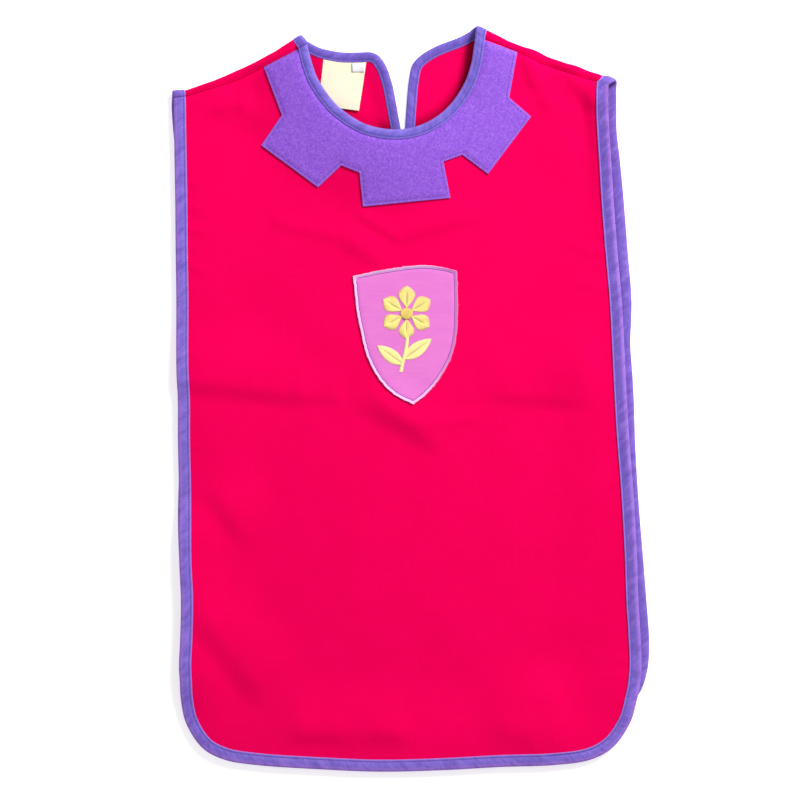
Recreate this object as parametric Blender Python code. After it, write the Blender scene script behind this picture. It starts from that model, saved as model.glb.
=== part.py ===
"""Tabard for a child, laid flat with its front side up.

Open-sided tunic of two panels joined at the shoulders: a felt collar with square tabs, a shield
patch on the chest, and one folded tape round the neck and back slit and another round all outer
edges. The origin is under the middle of the garment, on the surface that it lies on. +Z is up and
+Y points to the shoulders. Every table and constant is in millimetres.

Each piece is laid out as thick flat cloth, with n for the height through the cloth, and is then
moved to where it lies: the front over the back, and the back round the shoulder folds.
"""
import math

import bmesh
import bpy
import numpy as np
from mathutils import Vector
from mathutils.geometry import delaunay_2d_cdt

MM = 0.001

# Walls
CLOTH = 1.2
TAPE = 1.0
FELT = 2.0
PATCH = 1.4
LABEL = 1.0
AIR = 0.3

# Folded tape: shown width from its fold to the end of its leg
EDGE_WIDTH = 11.0
NECK_WIDTH = 9.0
WRAP = AIR + TAPE

# How the cloth lies
FRONT_REST = 1.8
STACK = 2.7
EDGE_EASE = (14.0, 46.0)
NECK_LIFT = 2.0
NECK_EASE = (12.0, 70.0)
SHOULDER_LIFT = 1.2
SHOULDER_EASE = (6.0, 60.0)
CURL = 9.5
MIDDLE = -15.0

# Where the middle of the whole garment is in these tables
CENTRE = (0.45, -0.85)

# Mesh
LATTICE = 17.0
EDGE_STEP = 18.0
NECK_STEP = 9.0
TURN = math.radians(15)
FOLD_PARTS = 6

# Outer edge of the tape, a row for each height up the garment
# up, front left, front right, back left, back right
SIDES = (
    (262.0, -213.1, 178.3, -214.5, 186.6),
    (241.0, -212.2, 179.2, -213.4, 186.8),
    (214.0, -211.4, 181.0, -210.3, 189.8),
    (178.0, -210.8, 183.3, -208.8, 193.2),
    (133.0, -210.4, 186.9, -208.0, 196.7),
    (88.0, -209.8, 190.8, -207.8, 200.2),
    (47.0, -209.7, 193.0, -207.8, 199.2),
    (22.0, -209.3, 194.2, -207.4, 201.0),
    (-2.0, -208.3, 195.4, -206.8, 202.3),
    (-38.0, -208.3, 197.6, -206.9, 203.4),
    (-74.0, -207.6, 200.5, -208.0, 205.3),
    (-110.0, -207.2, 202.7, -208.7, 207.8),
    (-146.0, -206.8, 204.6, -207.6, 210.8),
    (-182.0, -205.3, 205.8, -205.0, 213.6),
    (-218.0, -206.0, 208.0, -204.0, 216.1),
    (-240.0, -207.0, 208.7, -204.2, 215.3),
    (-256.0, -206.3, 207.5, -203.6, 211.8),
    (-264.0, -206.1, 206.3, -203.4, 208.6),
    (-272.0, -205.5, 204.5, -202.6, 203.4),
    (-290.0, -202.0, 199.5, -198.8, 196.4),
    (-308.0, -192.3, 188.8, -189.2, 185.5),
    (-318.0, -182.4, 178.2, -179.0, 174.8),
    (-326.0, -164.6, 160.8, -161.2, 157.4),
)

# Hem: across, front, back
HEM = (
    (-140.0, -330.0, -326.8),
    (-80.0, -334.1, -331.0),
    (-26.0, -336.2, -332.9),
    (35.0, -334.6, -331.4),
    (82.0, -332.0, -328.8),
    (130.0, -330.2, -327.0),
)

# Front neckline, from the left shoulder seam round to the right one: across, up
FRONT_NECK = (
    (-91.9, 317.8),
    (-87.6, 301.0),
    (-82.4, 286.8),
    (-69.5, 267.8),
    (-60.4, 258.9),
    (-40.2, 246.3),
    (-16.1, 241.2),
    (6.2, 243.8),
    (28.6, 255.9),
    (45.8, 276.5),
    (54.5, 297.2),
    (58.7, 322.6),
)

# Back neckline and slit, from the right shoulder round to the left one: across, up
BACK_NECK = (
    (53.2, 329.6),
    (45.5, 325.4),
    (37.2, 322.1),
    (27.4, 318.5),
    (16.7, 313.2),
    (8.6, 307.6),
    (2.6, 300.4),
    (-0.8, 285.0),
    (-2.8, 263.0),
    (-4.2, 240.0),
    (-4.3, 224.6),
    (-5.4, 222.4),
    (-6.5, 224.6),
    (-7.4, 240.0),
    (-9.8, 253.0),
    (-12.3, 267.0),
    (-15.6, 283.0),
    (-21.0, 298.6),
    (-27.6, 308.0),
    (-34.5, 311.2),
    (-44.6, 311.4),
    (-60.8, 311.6),
    (-71.5, 313.3),
    (-80.0, 315.4),
    (-87.8, 319.0),
)

# Shoulder folds as seen from above, from the neck to the armhole: across, up
FOLD_LEFT = (
    (-97.0, 327.2),
    (-105.0, 323.5),
    (-121.0, 313.2),
    (-137.0, 304.4),
    (-156.0, 295.4),
    (-178.0, 286.2),
    (-201.0, 278.4),
    (-214.3, 277.0),
)
FOLD_RIGHT = (
    (60.5, 335.4),
    (70.5, 331.8),
    (88.7, 322.4),
    (112.0, 313.3),
    (135.5, 304.4),
    (160.7, 295.4),
    (175.5, 290.2),
    (186.6, 286.0),
)

# Shoulder seams, from the neck to the armhole: across, up
SEAM_LEFT = (
    (-91.9, 317.8),
    (-102.2, 311.8),
    (-131.5, 297.2),
    (-156.0, 285.8),
    (-182.0, 277.2),
    (-201.0, 271.4),
    (-214.2, 269.4),
)
SEAM_RIGHT = (
    (58.7, 322.6),
    (70.0, 321.6),
    (97.6, 310.8),
    (120.0, 300.4),
    (152.2, 289.1),
    (165.0, 284.9),
    (178.4, 280.6),
)

# Corners of the collar's square tabs, from the left shoulder seam to the right one
COLLAR_TABS = (
    (-131.0, 296.0),
    (-114.8, 254.2),
    (-133.6, 227.4),
    (-82.4, 189.6),
    (-61.4, 209.0),
    (-45.0, 202.4),
    (-42.0, 172.2),
    (36.8, 180.0),
    (30.4, 212.2),
    (47.6, 218.4),
    (70.6, 201.6),
    (109.4, 253.2),
    (89.6, 270.0),
    (96.8, 309.4),
)

# Shield patch, from its top edge to its tip: up, left, right
SHIELD_TOP = ((-51.0, 109.8), (-26.0, 115.0), (8.0, 119.4), (24.0, 118.8), (42.7, 114.6))
SHIELD_SIDES = (
    (94.0, -49.2, 43.3),
    (76.0, -47.2, 43.4),
    (55.0, -42.8, 42.2),
    (36.0, -37.6, 37.3),
    (16.0, -26.6, 26.0),
    (3.0, -13.4, 14.8),
)
SHIELD_TIP = (3.6, -5.8)

# Labels sewn into the back neck: corners from the upper left, the way round
LABEL_CORNERS = ((-77.6, 301.6), (-38.9, 301.4), (-45.5, 258.6), (-82.4, 263.4))
TAB_CORNERS = ((-52.4, 301.2), (-40.3, 301.2), (-41.4, 293.6), (-52.4, 293.6))

# Soft ridges in the front: start and end, height, reach to the left and to the right of the
# way from start to end
RIDGES = (
    # across, up, to across, to up, height, left reach, right reach
    (-190.0, 14.0, -104.0, -8.0, 3.0, 58.0, 18.0),
    (-42.0, 6.0, 22.0, -27.0, 2.8, 46.0, 18.0),
    (74.0, 8.0, 158.0, 0.0, 1.8, 46.0, 16.0),
    (-170.0, -84.0, -112.0, -150.0, 2.4, 44.0, 16.0),
    (-184.0, -190.0, -117.0, -284.0, 4.2, 64.0, 20.0),
    (-108.0, -290.0, 0.0, -296.0, 3.0, 56.0, 18.0),
    (116.0, -258.0, 110.0, -312.0, 2.4, 64.0, 28.0),
    (-62.0, 148.0, -22.0, 124.0, 2.0, 20.0, 16.0),
    (-10.0, 152.0, 68.0, 172.0, 2.0, 22.0, 14.0),
    (-172.0, 262.0, -146.0, 236.0, 2.0, 24.0, 18.0),
    (134.0, 276.0, 152.0, 206.0, 2.6, 20.0, 44.0),
    (-212.0, -70.0, -206.0, -262.0, 3.2, 44.0, 44.0),
    (176.0, 76.0, 180.0, 24.0, 1.8, 40.0, 40.0),
)
RIDGE_END = 22.0

# Colours: red, green, blue, roughness
CLOTH_LOOK = ("Crimson pink cloth", (0.94, 0.005, 0.110), 0.75)
TAPE_LOOK = ("Violet tape", (0.290, 0.195, 0.740), 0.65)
FELT_LOOK = ("Purple felt", (0.325, 0.125, 0.740), 0.95)
PATCH_LOOK = ("Lilac patch", (0.92, 0.270, 0.760), 0.80)
LABEL_LOOK = ("Cream label", (0.93, 0.90, 0.72), 0.60)


def spline(points, pieces=20):
    """A smooth curve through the points, as many short steps."""
    p = np.array(points, float)
    p = np.vstack((2 * p[0] - p[1], p, 2 * p[-1] - p[-2]))
    out = []
    for i in range(1, len(p) - 2):
        gap = [max(np.linalg.norm(p[k + 1] - p[k]), 1e-6) ** 0.5 for k in (i - 1, i, i + 1)]
        start = (p[i] - p[i - 1]) / gap[0] - (p[i + 1] - p[i - 1]) / (gap[0] + gap[1])
        start = (start + (p[i + 1] - p[i]) / gap[1]) * gap[1]
        end = (p[i + 1] - p[i]) / gap[1] - (p[i + 2] - p[i]) / (gap[1] + gap[2])
        end = (end + (p[i + 2] - p[i + 1]) / gap[2]) * gap[1]
        for k in range(pieces):
            f = k / pieces
            out.append((2 * f**3 - 3 * f**2 + 1) * p[i] + (f**3 - 2 * f**2 + f) * start
                       + (3 * f**2 - 2 * f**3) * p[i + 1] + (f**3 - f**2) * end)
    out.append(p[-2])
    return np.array(out)


def unit(vector):
    """A vector of length 1."""
    vector = np.array(vector, float)
    return vector / np.linalg.norm(vector)


def inward(path, ends):
    """The right-hand side of the way along a path, where its cloth is, and along the seams."""
    way = np.gradient(path, axis=0)
    way = way / np.linalg.norm(way, axis=1)[:, None]
    into = np.column_stack((way[:, 1], -way[:, 0]))
    into[0] = ends[0]
    into[-1] = ends[1]
    return into


def stations(path, step, forced, skipped):
    """Points to keep along a smooth path: closer where it bends, and the forced ones."""
    way = np.gradient(path, axis=0)
    way = way / np.linalg.norm(way, axis=1)[:, None]
    kept = [0]
    length = 0.0
    bend = 0.0
    for i in range(1, len(path)):
        length += np.linalg.norm(path[i] - path[i - 1])
        bend += math.acos(float(np.clip(way[i] @ way[i - 1], -1, 1)))
        if i in skipped:
            continue
        if i in forced:
            if length < step * 0.25 and kept[-1] not in forced and kept[-1] != 0:
                kept.pop()
        elif length < step and bend < TURN:
            continue
        kept.append(i)
        length = 0.0
        bend = 0.0
    if kept[-1] != len(path) - 1:
        if np.linalg.norm(path[kept[-1]] - path[-1]) < step * 0.25 and kept[-1] not in forced:
            kept.pop()
        kept.append(len(path) - 1)
    return np.array(kept)


def distance(points, path):
    """How far each point is from a path."""
    a = path[:-1]
    d = path[1:] - a
    size = np.maximum((d * d).sum(1), 1e-12)
    best = np.full(len(points), 1e9)
    for k in range(0, len(points), 400):
        q = points[k:k + 400, None, :] - a[None]
        f = np.clip((q * d[None]).sum(2) / size[None], 0, 1)
        gap = q - f[..., None] * d[None]
        best[k:k + 400] = np.sqrt((gap * gap).sum(2)).min(1)
    return best


def inside(points, outline):
    """Which points lie in a closed outline."""
    x, y = points[:, 0], points[:, 1]
    found = np.zeros(len(points), bool)
    for (ax, ay), (bx, by) in zip(outline, np.roll(outline, -1, axis=0)):
        if ay == by:
            continue
        crosses = (ay > y) != (by > y)
        found ^= crosses & (x < (bx - ax) * (y - ay) / (by - ay) + ax)
    return found


def ease(value, near, far):
    """1 up to near and 0 from far on, with a smooth slope between."""
    f = np.clip((np.asarray(value, float) - near) / (far - near), 0, 1)
    return 1 - f * f * (3 - 2 * f)


# Paths of the tape's fold, seen from above. The cloth is on the right-hand side of each.
GAP_UP = np.array((0, AIR / 2))


def side_rows(left, right, hem):
    """Down the left side, along the hem and up the right side."""
    down = [(row[left], row[0]) for row in SIDES]
    across = [(row[0], row[hem]) for row in HEM]
    up = [(row[right], row[0]) for row in reversed(SIDES)]
    return down + across + up


FRONT_SIDE = spline([SEAM_LEFT[-1] - GAP_UP] + side_rows(1, 2, 1) + [SEAM_RIGHT[-1] - GAP_UP])[::-1]
FRONT_NECK_LINE = spline(
    [FRONT_NECK[0] - GAP_UP] + list(FRONT_NECK[1:-1]) + [FRONT_NECK[-1] - GAP_UP])
BACK_SIDE_LOW = spline([FOLD_LEFT[-1]] + side_rows(3, 4, 2) + [FOLD_RIGHT[-1]])
BACK_NECK_LOW = spline([FOLD_RIGHT[0]] + list(BACK_NECK) + [FOLD_LEFT[0]])
FRONT_SIDE_LONG = np.vstack((FOLD_RIGHT[-1], FRONT_SIDE, FOLD_LEFT[-1]))
FRONT_NECK_LONG = np.vstack((FOLD_LEFT[0], FRONT_NECK_LINE, FOLD_RIGHT[0]))
FOLD_LINES = (np.array(FOLD_LEFT), np.array(FOLD_RIGHT))


def nearest(points, *paths):
    """How far each point is from the nearest of some paths."""
    return np.min([distance(points, path) for path in paths], axis=0)


def ridge_height(points):
    """Height that the soft ridges add to the front."""
    total = np.zeros(len(points))
    for x0, y0, x1, y1, height, left, right in RIDGES:
        way = np.array((x1 - x0, y1 - y0))
        length = np.linalg.norm(way)
        way = way / length
        off = points - np.array((x0, y0))
        along = off @ way
        side = off @ np.array((-way[1], way[0]))
        reach = np.where(side > 0, left, right)
        slope = np.cos(np.clip(np.abs(side) / reach, 0, 1) * math.pi / 2) ** 2
        ends = ease(-along, -RIDGE_END, RIDGE_END) * ease(along - length, -RIDGE_END, RIDGE_END)
        total += height * slope * ends
    return total


def front_height(points):
    """Height of the underside of the front."""
    return (FRONT_REST + STACK * ease(nearest(points, BACK_SIDE_LOW, BACK_NECK_LOW), *EDGE_EASE)
            + WRAP * ease(nearest(points, FRONT_SIDE_LONG, FRONT_NECK_LONG), *EDGE_EASE)
            + NECK_LIFT * ease(distance(points, FRONT_NECK_LONG), *NECK_EASE)
            + SHOULDER_LIFT * ease(nearest(points, *FOLD_LINES), *SHOULDER_EASE)
            + ridge_height(points))


class Fold:
    """The frame of one shoulder fold: t runs along it and s beyond its start."""

    def __init__(self, rows):
        rows = np.array(rows)
        self.origin = rows[0]
        self.along = unit(rows[-1] - rows[0])
        out = np.array((-self.along[1], self.along[0]))
        self.out = out if out[1] > 0 else -out
        self.t = (rows - self.origin) @ self.along
        lift = WRAP * ease(nearest(rows, BACK_SIDE_LOW, BACK_NECK_LOW), *EDGE_EASE)
        reach = (front_height(rows) + CLOTH - lift) / 2 + lift
        self.start = (rows - self.origin) @ self.out - reach

    def split(self, points):
        """How far along the fold points are, and how far beyond its start."""
        off = points - self.origin
        t = off @ self.along
        return t, off @ self.out - np.interp(t, self.t, self.start)

    def join(self, t, s):
        """The points that are so far along the fold and beyond its start."""
        out = s + np.interp(t, self.t, self.start)
        return self.origin + np.outer(t, self.along) + np.outer(out, self.out)

    def unroll(self, points):
        """Where points on the upper layer lie in the flat cloth of the back."""
        t, s = self.split(np.array(points, float).reshape(-1, 2))
        return self.join(t, CURL - s)

    def crest(self, point):
        """Where a point on the seen fold lies in the flat cloth of the back."""
        t = (np.array(point) - self.origin) @ self.along
        return self.join(np.array((t,)), np.array((CURL / 2,)))

    def turn_rows(self, clear):
        """Rows of points along the turn, clear of its ends."""
        span = np.linspace(self.t[0] + clear[0], self.t[-1] - clear[1], 12)
        return [self.join(span, np.full(len(span), CURL * k / FOLD_PARTS))
                for k in range(FOLD_PARTS + 1)]


LEFT = Fold(FOLD_LEFT)
RIGHT = Fold(FOLD_RIGHT)


def marked(path, fold_first, fold_last):
    """The path with points added on the rows of each turn: which they are, and those between."""
    points = [path[0]]
    forced = {}
    skipped = set()
    half = len(path) // 2
    levels = [CURL * k / FOLD_PARTS for k in range(FOLD_PARTS + 1)]
    for i in range(1, len(path)):
        fold = fold_first if i < half else fold_last
        s = fold.split(path[i - 1:i + 1])[1]
        met = [level for level in levels if (s[0] < level) != (s[1] < level)]
        for level in sorted(met, reverse=bool(s[0] > s[1])):
            forced[len(points)] = fold
            f = (level - s[0]) / (s[1] - s[0])
            points.append(path[i - 1] + f * (path[i] - path[i - 1]))
        if -1.5 < s[1] < CURL + 1.5:
            skipped.add(len(points))
        points.append(path[i])
    return np.array(points), forced, skipped


# The back's paths in its flat cloth, beyond the folds too
BACK_SIDE = spline(np.vstack((
    LEFT.unroll(SEAM_LEFT[-1] + GAP_UP), LEFT.crest(FOLD_LEFT[-1]), side_rows(3, 4, 2),
    RIGHT.crest(FOLD_RIGHT[-1]), RIGHT.unroll(SEAM_RIGHT[-1] + GAP_UP))))[::-1]
BACK_NECK_LINE = spline(np.vstack((
    RIGHT.unroll(FRONT_NECK[-1] + GAP_UP), RIGHT.crest(FOLD_RIGHT[0]), BACK_NECK,
    LEFT.crest(FOLD_LEFT[0]), LEFT.unroll(FRONT_NECK[0] + GAP_UP))))[::-1]
BACK_SIDE, *SIDE_TURNS = marked(BACK_SIDE, RIGHT, LEFT)
BACK_NECK_LINE, *NECK_TURNS = marked(BACK_NECK_LINE, LEFT, RIGHT)


def back_height(points):
    """Height of the underside of the back, which rises into its tapes."""
    return WRAP * ease(nearest(points, BACK_SIDE, BACK_NECK_LINE), *EDGE_EASE)


def lay_front(flat):
    """Lays points of the front, (across, up, n), over the back."""
    return np.column_stack((flat[:, :2], front_height(flat[:, :2]) + flat[:, 2]))


def lay_back(flat):
    """Lays points of the back, (across, up, n), and turns them round the shoulder folds."""
    plan = flat[:, :2].copy()
    n = flat[:, 2]
    low = back_height(plan) + n
    height = low.copy()
    for fold, here in ((LEFT, plan[:, 0] < MIDDLE), (RIGHT, plan[:, 0] >= MIDDLE)):
        t, s = fold.split(flat[:, :2])
        turned = here & (s > 0)
        if not turned.any():
            continue
        t = t[turned]
        s = s[turned]
        angle = np.clip(s / CURL, 0, 1) * math.pi
        upper = fold.join(t, -np.maximum(s - CURL, 0))
        high = front_height(upper) + CLOTH - n[turned]
        radius = (high - low[turned]) / 2
        share = (1 - np.cos(angle)) / 2
        plan[turned] = upper + np.outer(radius * np.sin(angle), fold.out)
        height[turned] = (1 - share) * low[turned] + share * high
    return np.column_stack((plan, height))


SECTION_DEPTHS = (1, 0, -1, -1, -1, 0, 1, 1, -1, -1, 1)


class Edge:
    """The taped edge of a panel: stations of its cloth, and the ends of the tape's leg there."""

    def __init__(self, path, ends, width, step, forced=None, skipped=()):
        forced = forced or {}
        into = inward(path, ends)
        at = stations(path, step, forced, skipped)
        self.path = path[at]
        self.into = into[at]
        self.folds = [forced.get(i) for i in at]
        self.leg = width - WRAP
        self.points = np.array([self.deep(k, (0,))[0] for k in range(len(at))])
        self.legs = np.array([self.deep(k, (self.leg,))[0] for k in range(len(at))])

    def deep(self, k, depths):
        """Points so far into the cloth from station k, along the fold where it turns."""
        fold = self.folds[k]
        depths = np.array(depths) + WRAP
        if fold is None:
            return self.path[k] + np.outer(depths, self.into[k])
        t, s = fold.split(self.path[k][None])
        return fold.join(t + depths * np.sign(fold.along @ self.into[k]), np.full(len(depths), s[0]))

    def row(self, depth):
        """Points so far into the cloth from its flat stations."""
        flat = [k for k in range(1, len(self.path) - 1) if self.folds[k] is None]
        return np.array([self.deep(k, (depth,))[0] for k in flat])

    def links(self, edge_at, leg_at, leg_ends):
        """Lines of the mesh under the tape, so that cloth and tape bend alike."""
        last = len(self.path) - 1
        legs = [leg_ends[0]] + [leg_at + k for k in range(last - 1)] + [leg_ends[1]]
        rungs = [(edge_at + k, legs[k]) for k in range(1, last)]
        return rungs + [(edge_at + k, legs[k + 1]) for k in range(last)]

    def rings(self, lay, turned):
        """Sections of the folded tape, laid in place."""
        top = CLOTH + WRAP
        section = np.array((
            (self.leg, top), (0.2, top), (-WRAP * 0.75, top - WRAP * 0.5), (-WRAP, CLOTH / 2),
            (-WRAP * 0.75, -WRAP * 0.5), (0.2, -WRAP), (self.leg, -WRAP), (self.leg, -AIR),
            (-AIR, -AIR), (-AIR, CLOTH + AIR), (self.leg, CLOTH + AIR)))
        n = CLOTH - section[:, 1] if turned else section[:, 1]
        flat = [np.column_stack((self.deep(k, section[:, 0]), n)) for k in range(len(self.path))]
        laid = lay(np.vstack(flat))
        return list(laid.reshape(len(flat), len(section), 3))


def seam_way(rows, neck, fold=None):
    """The way along a seam into the cloth, from its neck end or its armhole end."""
    one, two = (rows[0], rows[1]) if neck else (rows[-1], rows[-2])
    if fold:
        one, two = fold.unroll((one, two))
    return unit(np.array(two) - np.array(one))


def dense(corners, step):
    """The corners with points added along the long ways between them, without the last one."""
    out = []
    corners = np.array(corners, float)
    for a, b in zip(corners, corners[1:]):
        count = max(1, round(np.linalg.norm(b - a) / step))
        out += [a + (b - a) * k / count for k in range(count)]
    return np.array(out)


def fill(outline, loops, rows, fixed, clear):
    """Points to fill an outline: loops and fixed rows, then rows along edges and a lattice."""
    lo = outline.min(0)
    hi = outline.max(0)
    lattice = []
    for k, y in enumerate(np.arange(lo[1] + LATTICE / 2, hi[1], LATTICE * 0.87)):
        shift = LATTICE / 2 * (k % 2)
        lattice += [(x, y) for x in np.arange(lo[0] + shift, hi[0], LATTICE)]
    closed = [np.vstack((loop, loop[:1])) for loop in [outline] + loops]
    kept = np.vstack(fixed) if fixed else np.zeros((0, 2))
    for points in rows + [np.array(lattice)]:
        points = points[inside(points, outline)]
        points = points[nearest(points, *closed) > clear]
        for p in points:
            if not len(kept) or np.min(((kept - p) ** 2).sum(1)) > (LATTICE * 0.62) ** 2:
                kept = np.vstack((kept, p))
    return kept


def set_place(bm, placed):
    """Moves the points of a mesh to where they lie, in metres from the garment's middle."""
    for v, (x, y, z) in zip(bm.verts, placed):
        v.co = ((x - CENTRE[0]) * MM, (y - CENTRE[1]) * MM, z * MM)


def make_object(name, bm, look):
    """Makes an object of a closed mesh, with its material."""
    bmesh.ops.recalc_face_normals(bm, faces=bm.faces)
    mesh = bpy.data.meshes.new(name)
    bm.to_mesh(mesh)
    bm.free()
    obj = bpy.data.objects.new(name, mesh)
    bpy.context.collection.objects.link(obj)
    title, colour, roughness = look
    material = bpy.data.materials.new(title)
    material.use_nodes = True
    shader = material.node_tree.nodes["Principled BSDF"]
    shader.inputs["Base Color"].default_value = (*colour, 1)
    shader.inputs["Roughness"].default_value = roughness
    shader.inputs["Metallic"].default_value = 0
    mesh.materials.append(material)


def sheet(name, outline, loops, inner, links, n0, wall, lay, look):
    """A wall of cloth with this outline, through the inner points and the loops."""
    points = np.vstack([outline, inner] + loops)
    edges = list(links)
    first = len(outline) + len(inner)
    for loop in loops:
        edges += [(first + k, first + (k + 1) % len(loop)) for k in range(len(loop))]
        first += len(loop)
    ring = list(range(len(outline)))
    spots, _, faces, *_ = delaunay_2d_cdt([Vector(p) for p in points], edges, [ring], 1, 1e-4)
    bm = bmesh.new()
    lower = [bm.verts.new((p.x, p.y, n0)) for p in spots]
    for face in faces:
        bm.faces.new([lower[i] for i in face])
    bmesh.ops.delete(bm, geom=[v for v in bm.verts if not v.link_faces], context="VERTS")
    grown = bmesh.ops.extrude_face_region(bm, geom=bm.faces[:])["geom"]
    upper = [g for g in grown if isinstance(g, bmesh.types.BMVert)]
    bmesh.ops.translate(bm, verts=upper, vec=(0, 0, wall))
    set_place(bm, lay(np.array([v.co for v in bm.verts])))
    make_object(name, bm, look)


def skin(bm, one, two):
    """Closes the way between two sections, split from the shallow side to the deep one."""
    for k in range(len(one)):
        j = (k + 1) % len(one)
        shallow, deep = (k, j) if SECTION_DEPTHS[k] <= SECTION_DEPTHS[j] else (j, k)
        bm.faces.new((one[shallow], one[deep], two[deep]))
        bm.faces.new((one[shallow], two[deep], two[shallow]))


def tape(name, first, second, joined, look):
    """A closed tape through the sections of two edges, joined at their starts or their ends."""
    bm = bmesh.new()
    loops = [[bm.verts.new(point) for point in ring] for ring in first + second]
    set_place(bm, np.vstack(first + second))
    one, two = loops[:len(first)], loops[len(first):]
    for rings in (one, two):
        for a, b in zip(rings, rings[1:]):
            skin(bm, a, b)
    skin(bm, one[joined], two[joined])
    bm.faces.new(one[-1 - joined])
    bm.faces.new(two[-1 - joined])
    make_object(name, bm, look)


def collar_outline():
    """Outline of the felt collar: along the neck tape, then round the tabs."""
    depth = NECK_WIDTH + 2 * AIR
    path = FRONT_NECK_LINE + inward(
        FRONT_NECK_LINE, (seam_way(SEAM_LEFT, True), seam_way(SEAM_RIGHT, True))) * depth
    seams = []
    for rows in (SEAM_LEFT, SEAM_RIGHT):
        rows = np.array(sorted(rows))
        seams.append(lambda x, rows=rows: np.interp(x, rows[:, 0], rows[:, 1]) - 1.5 * AIR)
    below = np.where(path[:, 0] < MIDDLE, seams[0](path[:, 0]), seams[1](path[:, 0])) > path[:, 1]
    path = path[below]
    path = path[stations(path, NECK_STEP, (), ())]
    first, last = path[0], path[-1]
    start = (first[0], seams[0](first[0]))
    end = (last[0], seams[1](last[0]))
    tabs = [list(p) for p in COLLAR_TABS]
    tabs[0][1] = seams[0](tabs[0][0])
    tabs[-1][1] = seams[1](tabs[-1][0])
    return np.vstack((path[1:-1], dense([end] + tabs[::-1] + [start, start], LATTICE * 0.9)))


def clear_scene():
    """Empties the scene."""
    for obj in list(bpy.data.objects):
        bpy.data.objects.remove(obj, do_unlink=True)


def panel(name, side, neck, seam_left, seam_right, loops, under_neck_tape, turns, lay):
    """One of the two panels, and the points that fill it."""
    outline = np.vstack((
        side.points, side.legs[-1:], seam_left[::-1], neck.legs[:1],
        neck.points, neck.legs[-1:], seam_right, side.legs[:1]))
    neck_at = len(side.points) + len(seam_left) + 2
    rows = [side.row(side.leg + 15), side.row(side.leg + 30)]
    rows += [neck.row(neck.leg + 14), neck.row(neck.leg + 28)]
    fixed = [side.legs[1:-1]]
    links = side.links(0, len(outline), (len(outline) - 1, len(side.points)))
    if under_neck_tape:
        links += neck.links(neck_at, len(outline) + len(fixed[0]),
                            (neck_at - 1, neck_at + len(neck.points)))
        fixed.append(neck.legs[1:-1])
    inner = fill(outline, loops, rows, fixed + turns, 5.0)
    sheet(name, outline, loops, inner, links, 0.0, CLOTH, lay, CLOTH_LOOK)
    return inner


def patch(name, outline, points, n0, wall, lay, look):
    """A piece that lies on a panel, made from the panel's points."""
    sheet(name, outline, [], points[inside(points, outline)], [], n0, wall, lay, look)


clear_scene()

# Taped edges
front_side = Edge(FRONT_SIDE, (seam_way(SEAM_RIGHT, False), seam_way(SEAM_LEFT, False)),
                  EDGE_WIDTH, EDGE_STEP)
front_neck = Edge(FRONT_NECK_LINE, (seam_way(SEAM_LEFT, True), seam_way(SEAM_RIGHT, True)),
                  NECK_WIDTH, NECK_STEP)
back_side = Edge(BACK_SIDE, (seam_way(SEAM_RIGHT, False, RIGHT), seam_way(SEAM_LEFT, False, LEFT)),
                 EDGE_WIDTH, EDGE_STEP, *SIDE_TURNS)
back_neck = Edge(BACK_NECK_LINE, (seam_way(SEAM_LEFT, True, LEFT), seam_way(SEAM_RIGHT, True, RIGHT)),
                 NECK_WIDTH, NECK_STEP, *NECK_TURNS)

# Front panel, with the collar and the shield on it
collar = collar_outline()
shield = np.vstack((
    spline(SHIELD_TOP, 3),
    [(right, up) for up, left, right in SHIELD_SIDES], [SHIELD_TIP],
    [(left, up) for up, left, right in reversed(SHIELD_SIDES)]))
seams = [np.array(rows[1:-1]) - GAP_UP for rows in (SEAM_LEFT, SEAM_RIGHT)]
front_points = panel("front_panel", front_side, front_neck, *seams, [collar, shield], False, [],
                     lay_front)
patch("felt_collar", collar, front_points, CLOTH + AIR, FELT, lay_front, FELT_LOOK)
patch("shield_patch", shield, front_points, CLOTH + AIR, PATCH, lay_front, PATCH_LOOK)

# Back panel, with its shoulders turned over the folds, and its labels
label = dense(LABEL_CORNERS + LABEL_CORNERS[:1], LATTICE)
tab = np.array(TAB_CORNERS)
seams = [fold.unroll(np.array(rows[1:-1]) + GAP_UP)
         for fold, rows in ((LEFT, SEAM_LEFT), (RIGHT, SEAM_RIGHT))]
back_points = panel("back_panel", back_side, back_neck, *seams, [label], True,
                    LEFT.turn_rows((17, 20)) + RIGHT.turn_rows((17, 20)), lay_back)
patch("neck_label", label, back_points, CLOTH + AIR, LABEL, lay_back, LABEL_LOOK)
patch("size_tab", tab, back_points, CLOTH + LABEL + 2 * AIR, LABEL, lay_back, LABEL_LOOK)

# One tape round the neck and the slit, and one round all outer edges. Both end at the left seam.
tape("neck_binding", front_neck.rings(lay_front, False), back_neck.rings(lay_back, True), -1,
     TAPE_LOOK)
tape("edge_binding", front_side.rings(lay_front, False), back_side.rings(lay_back, True), 0,
     TAPE_LOOK)
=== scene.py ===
"""Looks of a child's tabard laid flat: cloth, tapes, felt, patch, labels, sewing and embroidery.

Lengths are in millimetres in the garment's own plan, and become metres as a piece is laid down.
Each piece is first made as flat cloth, across, up and n through the cloth, and is then laid down:
the front over the back, and the back round the shoulder folds.
"""
import math
import random

import bmesh
import bpy
import numpy as np
from mathutils import Matrix, Vector, noise
from mathutils.geometry import delaunay_2d_cdt


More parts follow.
